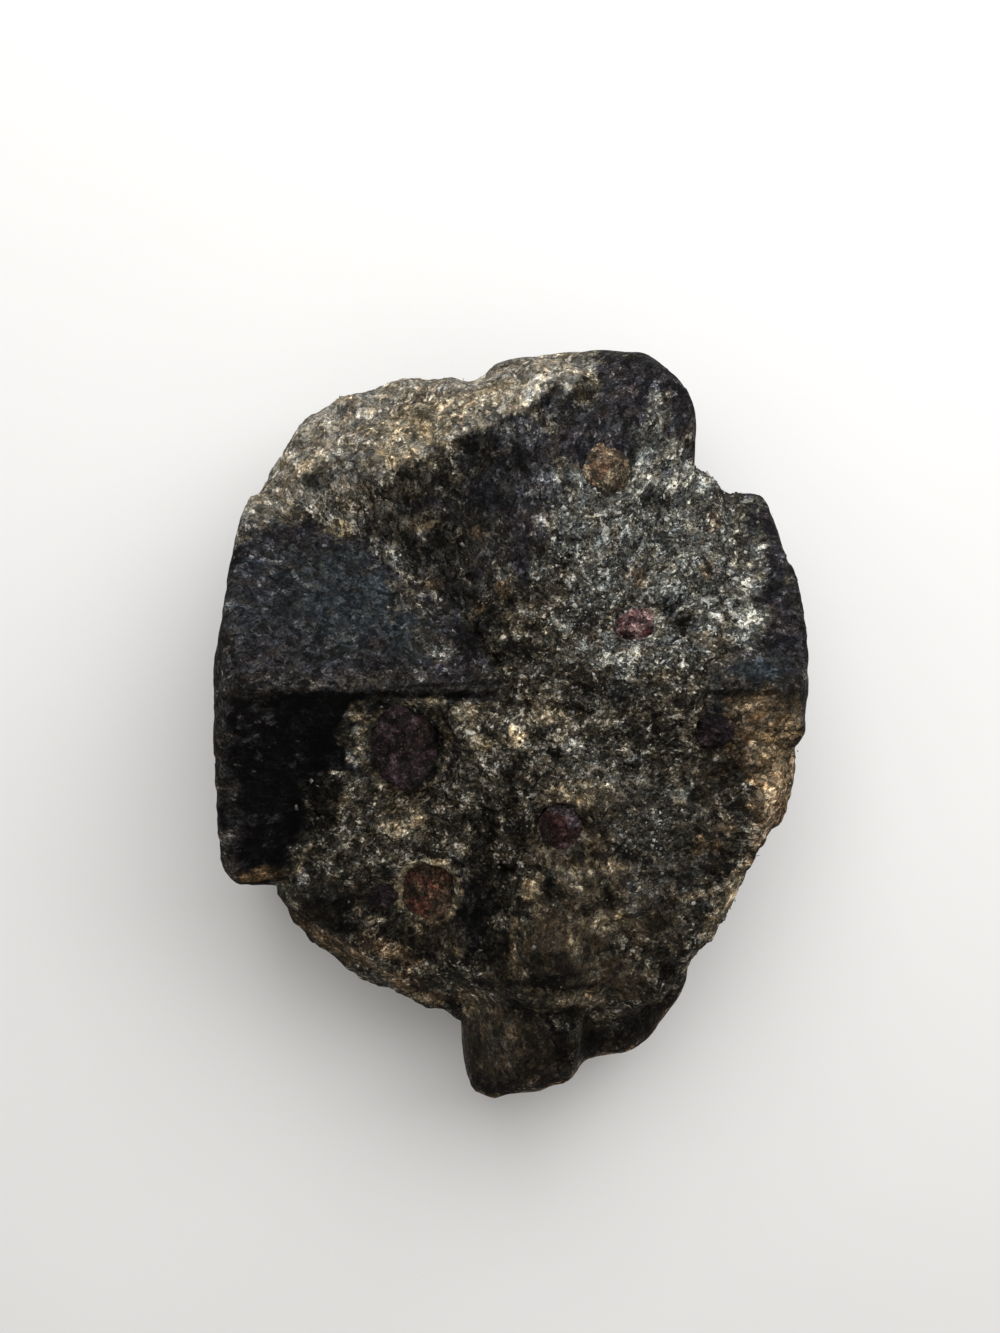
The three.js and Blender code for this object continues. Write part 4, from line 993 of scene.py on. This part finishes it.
def weather(points, normals):
    """The rock's stains and painted shade as masks for its finish: the tables seen from above, of which
    the dark one is partly painted shade, rust over the east end south of the ridge, a tan skin over the
    whole north-west slope that greys towards its foot, pale rims round garnets, cream patches underneath,
    and thin layers on the steep sides."""
    p = points - CROSSING
    x, y, z = p.T
    above = ramp(z, 9, 13)
    masks = {name: spots(p, STAINS[name]) * above for name in ROCK_STAINS}
    cloudy = clouds(points, 2.5, 66)
    across = y + 5 - 0.35 * (18 - z)
    east = ramp(x + cloudy, 17, 19.5) * ramp(7 - np.abs(across) + 3.5 * cloudy, -1, 3)
    masks["rust"] = np.maximum(masks["rust"], 0.7 * east * ramp(z, 4, 7))
    slope = (x + 8.2) * -0.441 + (y - 18.7) * 0.897 + 0.9 * clouds(points, 2, 61)
    north = ramp(y - 0.3 * (x + 12) + 1.2 * clouds(points, 2.5, 62), 16.5, 21)
    full = 0.3 + 0.7 * np.maximum(north, ramp(x, -9, -6))
    masks["tan"] = ramp(slope, -0.6, 1.2) * ramp(z, 5, 12) * ramp(-x, -9, -3) * full
    for name, radius, strength in RINGS:
        away = np.linalg.norm((points - middle_of(name))[:, :2], axis=-1)
        away += 0.3 * clouds(points, 1.0, 64)
        ring = strength * ramp(0.45 - np.abs(away - radius), 0, 0.35)
        masks["cream"] = np.maximum(masks["cream"], ring)
    under = 0.5 * ramp(clouds(points, 3.5, 63), -0.2, 0.5) * (1 - above)
    masks["cream"] = np.maximum(masks["cream"], under)
    masks["side"] = ramp(0.75 - normals[:, 2], 0, 0.35) * (1 - 0.7 * masks["tan"])
    return masks


def crystal_weather(points, normals, crust):
    """The crystals' stains and painted light: the rock's, the blue-grey coat of painted sheen, a smooth
    olive foot, brown on the west end and the ridge, black painted shade on the western faces turned
    south, and a rusty line where the foot's top turns down."""
    p = points - CROSSING
    x, y, z = p.T
    cloudy = clouds(points, 2.2, 71)
    west = ramp(-x + 1.2 * cloudy, 19.6, 21.9) * ramp(cloudy, -0.9, 0.2)
    ridge = ramp(1.7 - np.abs(y - 2.9 + 0.9 * cloudy), 0, 0.8) * ramp(z, 22, 24) * ramp(cloudy, -1.2, 0)
    # Painted shade: how far each face turns south, away from the lamp, sets where black is painted.
    shade = -normals[:, 1] + 0.5 * clouds(points, 1.6, 72) + 0.35 * clouds(points, 0.6, 73)
    line = ramp(0.5 - normals[:, 2], 0, 0.15) * ramp(normals[:, 2], -0.05, 0.12)
    line *= ramp(-y, 17, 20) * ramp(-normals[:, 1], 0.2, 0.7)
    masks = weather(points, normals)
    masks["rust"] = np.maximum(masks["rust"], line)
    masks["side"] *= np.maximum(crust, 0.3)
    masks["crust"] = crust
    # Painted sheen: the blue-grey coat on the north-tilted faces stands in for the lamp's reflection.
    masks["painted_sheen"] = spots(p, STAINS["painted_sheen"])
    masks["olive"] = np.maximum(spots(p, STAINS["olive"]), 0.9 * ramp(-y, 14, 17))
    masks["brown"] = np.maximum.reduce([west, 0.8 * ridge, 0.4 * ramp(cloudy, 0.1, 0.6)])
    # Black painted shade on the western faces that turn south.
    masks["black"] = ramp(shade, 0.05, 0.5) * ramp(-x, 2, 4) * ramp(z, 4, 8) * (1 - west)
    return masks


# ---- Operators ----


class STONE_OT_crystals(bpy.types.Operator):
    """Makes the twinned staurolite prisms"""

    bl_idname = "stone.crystals"
    bl_label = "Staurolite crystals"

    def execute(self, context):
        stone = context.scene.stone
        sizes, _ = sizes_of(stone)
        _, crust, points, normals = crystal_surface(*sizes)
        masks = crystal_weather(points, normals, crust)
        mesh = build_mesh("staurolite_prisms", points, stone_grid(sizes[0])[1], masks)
        add_piece(mesh, staurolite_finish(stone.crystals, stone.rock), "staurolite", CRYSTALS)
        return {"FINISHED"}


class STONE_OT_rock(bpy.types.Operator):
    """Makes the mica schist round the crystals"""

    bl_idname = "stone.rock"
    bl_label = "Schist"

    def execute(self, context):
        stone = context.scene.stone
        _, sizes = sizes_of(stone)
        _, points, normals = rock_surface(*sizes)
        mesh = build_mesh("schist_rock", points, stone_grid(sizes[0])[1], weather(points, normals))
        add_piece(mesh, schist_finish(stone.rock), "schist", ROCK)
        return {"FINISHED"}


class STONE_OT_garnets(bpy.types.Operator):
    """Makes the worn garnet crystals"""

    bl_idname = "stone.garnets"
    bl_label = "Garnets"

    def execute(self, context):
        stone = context.scene.stone
        own = stone.garnets
        tones = {
            "plum": ((own.plum, own.brown), -0.02),
            "black": ((own.black, own.plum), -0.05),
            "round": ((own.dark, own.maroon), -0.02),
            "red": ((own.red, own.russet), 0.03),
            "pink": ((own.pink, own.rose), 0.0),
            "rusty": ((own.rusty, stone.rock.cream), -0.03),
        }
        finishes = {
            kind: garnet_finish(f"garnet_{kind}", *parts, stone.rock) for kind, parts in tones.items()
        }
        crystals, rock = sizes_of(stone)
        skin, up = stone_skin(crystals, rock)
        ways = (skin - HEART) / np.linalg.norm(skin - HEART, axis=-1, keepdims=True)
        directions, faces = sphere_grid(own.squares, 0)
        edges = neighbours(faces)
        for name in GARNETS:
            kind, stand, widths = GARNET_KINDS.get(name, ("plum", 0.3, (1, 1, 1)))
            heart = middle_of(name)
            near = np.argsort(-(ways @ (heart - HEART)))[:SKIN_POINTS]
            out = up[near].mean(0) / np.linalg.norm(up[near].mean(0))
            level = np.median((skin[near] - heart) @ out)
            reach = reach_of(directions, triangles_of(name, heart))
            far = 0.6 * worn(reach, edges, own.wear) + 0.4 * reach.mean()
            far = far * (1 + 0.1 * clouds(heart + directions * far[:, None], 1.7, 97))
            arms = flattened(directions * far[:, None] * widths, out, max(level + stand, 0.4))
            rough = 0.45 * clouds(heart + arms, 1.3, 91) + 0.16 * clouds(heart + arms, 0.5, 95)
            rough *= min(stand + 0.2, 1.0) * ramp(arms @ out, -0.5, 0.5)
            arms = arms + out * rough[:, None]
            crust = ramp(level + 0.15 + 0.4 * clouds(heart + arms, 0.9, 93) - arms @ out, 0, 0.4)
            mesh = build_mesh(name + "_worn", kept_inside(heart + arms), faces, {"crust": crust})
            add_piece(mesh, finishes[kind], "garnet", name)
        return {"FINISHED"}


FLAKE_SEED = 11


class STONE_OT_flakes(bpy.types.Operator):
    """Scatters thin mica plates over the schist"""

    bl_idname = "stone.flakes"
    bl_label = "Mica flakes"

    def execute(self, context):
        stone = context.scene.stone
        own = stone.flakes
        crystals, rock = sizes_of(stone)
        points, normals = stone_skin(crystals, rock)
        crystal_far, crust, *_ = crystal_surface(*crystals)
        crusty = np.where(rock_surface(*rock)[0] > crystal_far, 1, crust)
        silver = spots(points - CROSSING, STAINS["silver"])
        likely = crusty * (0.05 + silver) * ramp(points[:, 2], 1, 4)
        draw = np.random.default_rng(FLAKE_SEED)
        at = draw.choice(len(points), own.count, p=likely / likely.sum())
        middle = points[at] + draw.normal(0, 0.1, (own.count, 3)) - 0.04 * normals[at]
        lean = normals[at] + draw.normal(0, 0.35, (own.count, 3))
        up = lean / np.linalg.norm(lean, axis=-1, keepdims=True)
        side = np.cross(up, draw.normal(0, 1, (own.count, 3)))
        side /= np.linalg.norm(side, axis=-1, keepdims=True)
        size = own.width / MM * draw.lognormal(0, 0.4, own.count)
        kind = np.where(silver[at] > 0.4, draw.random(own.count), 0.75 * draw.random(own.count))
        plates, faces = mica_plates(middle, up, side, size, draw.uniform(0.6, 1, own.count))
        mesh = build_mesh("mica_flakes", kept_inside(plates), faces, {"kind": np.repeat(kind, 8)})
        add_piece(mesh, flake_finish(own), "schist")
        return {"FINISHED"}


# The lamp's width and length, place and turn; the camera's sensor and lens in millimetres, and how
# far it stands from the crossing.
WINDOW_SIZE = (0.32, 0.26)
WINDOW_PLACE = (0.06, 0.16, 0.2)
WINDOW_TURN = (math.radians(-12), math.radians(12), 0)
WINDOW_COLOUR = (0.985, 0.995, 1.0)
SKY_COLOUR = (1.0, 0.975, 0.95, 1)
SENSOR = 36
LENS = 46.59
CAMERA_PLACE = (-0.8, 4.48)


class STONE_OT_stage(bpy.types.Operator):
    """Makes the pale table, the soft light and the camera overhead"""

    bl_idname = "stone.stage"
    bl_label = "Table, light and camera"

    def execute(self, context):
        own = context.scene.stone.stage
        scene = context.scene
        scene.view_settings.view_transform = "Standard"
        mesh = bpy.data.meshes.new("table")
        mesh.from_pydata([(-2, -2, 0), (2, -2, 0), (2, 2, 0), (-2, 2, 0)], [], [(0, 1, 2, 3)])
        mesh.materials.append(table_finish(own))
        lamp = bpy.data.lights.new("window", "AREA")
        lamp.shape = "RECTANGLE"
        lamp.size, lamp.size_y = WINDOW_SIZE
        lamp.energy = own.window
        lamp.color = WINDOW_COLOUR
        lens = bpy.data.cameras.new("camera")
        lens.sensor_width = SENSOR
        lens.lens = LENS
        lens.clip_start = 0.01
        table, window, camera = (bpy.data.objects.new(data.name, data) for data in (mesh, lamp, lens))
        for thing in (table, window, camera):
            scene.collection.objects.link(thing)
        window.location = WINDOW_PLACE
        window.rotation_euler = WINDOW_TURN
        camera.location = (*(CROSSING[:2] + CAMERA_PLACE) * MM, own.height)
        scene.camera = camera
        world = bpy.data.worlds.new("room")
        world.use_nodes = True
        back = world.node_tree.nodes["Background"]
        back.inputs["Color"].default_value = SKY_COLOUR
        back.inputs["Strength"].default_value = own.sky
        scene.world = world
        return {"FINISHED"}


class STONE_PT_panel(bpy.types.Panel):
    """Lists what can be made and changed"""

    bl_idname = "STONE_PT_panel"
    bl_label = "Staurolite cross"
    bl_space_type = "VIEW_3D"
    bl_region_type = "UI"
    bl_category = "Stone"

    def draw(self, context):
        stone = context.scene.stone
        for operator, own in OPERATORS:
            box = self.layout.box()
            box.operator(operator.bl_idname)
            if own:
                settings = getattr(stone, own)
                for key in settings.__annotations__:
                    box.prop(settings, key)


OPERATORS = [
    (STONE_OT_crystals, "crystals"),
    (STONE_OT_rock, "rock"),
    (STONE_OT_garnets, "garnets"),
    (STONE_OT_flakes, "flakes"),
    (STONE_OT_stage, "stage"),
]
CLASSES = [
    CrystalSettings,
    RockSettings,
    GarnetSettings,
    FlakeSettings,
    StageSettings,
    StoneSettings,
    *(operator for operator, _ in OPERATORS),
    STONE_PT_panel,
]


def register():
    for cls in CLASSES:
        bpy.utils.register_class(cls)
    bpy.types.Scene.stone = PointerProperty(type=StoneSettings)


def unregister():
    del bpy.types.Scene.stone
    for cls in reversed(CLASSES):
        bpy.utils.unregister_class(cls)


def main():
    """Makes everything in order."""
    register()
    bpy.ops.stone.crystals()
    bpy.ops.stone.rock()
    bpy.ops.stone.garnets()
    bpy.ops.stone.flakes()
    bpy.ops.stone.stage()


if __name__ == "__main__":
    main()
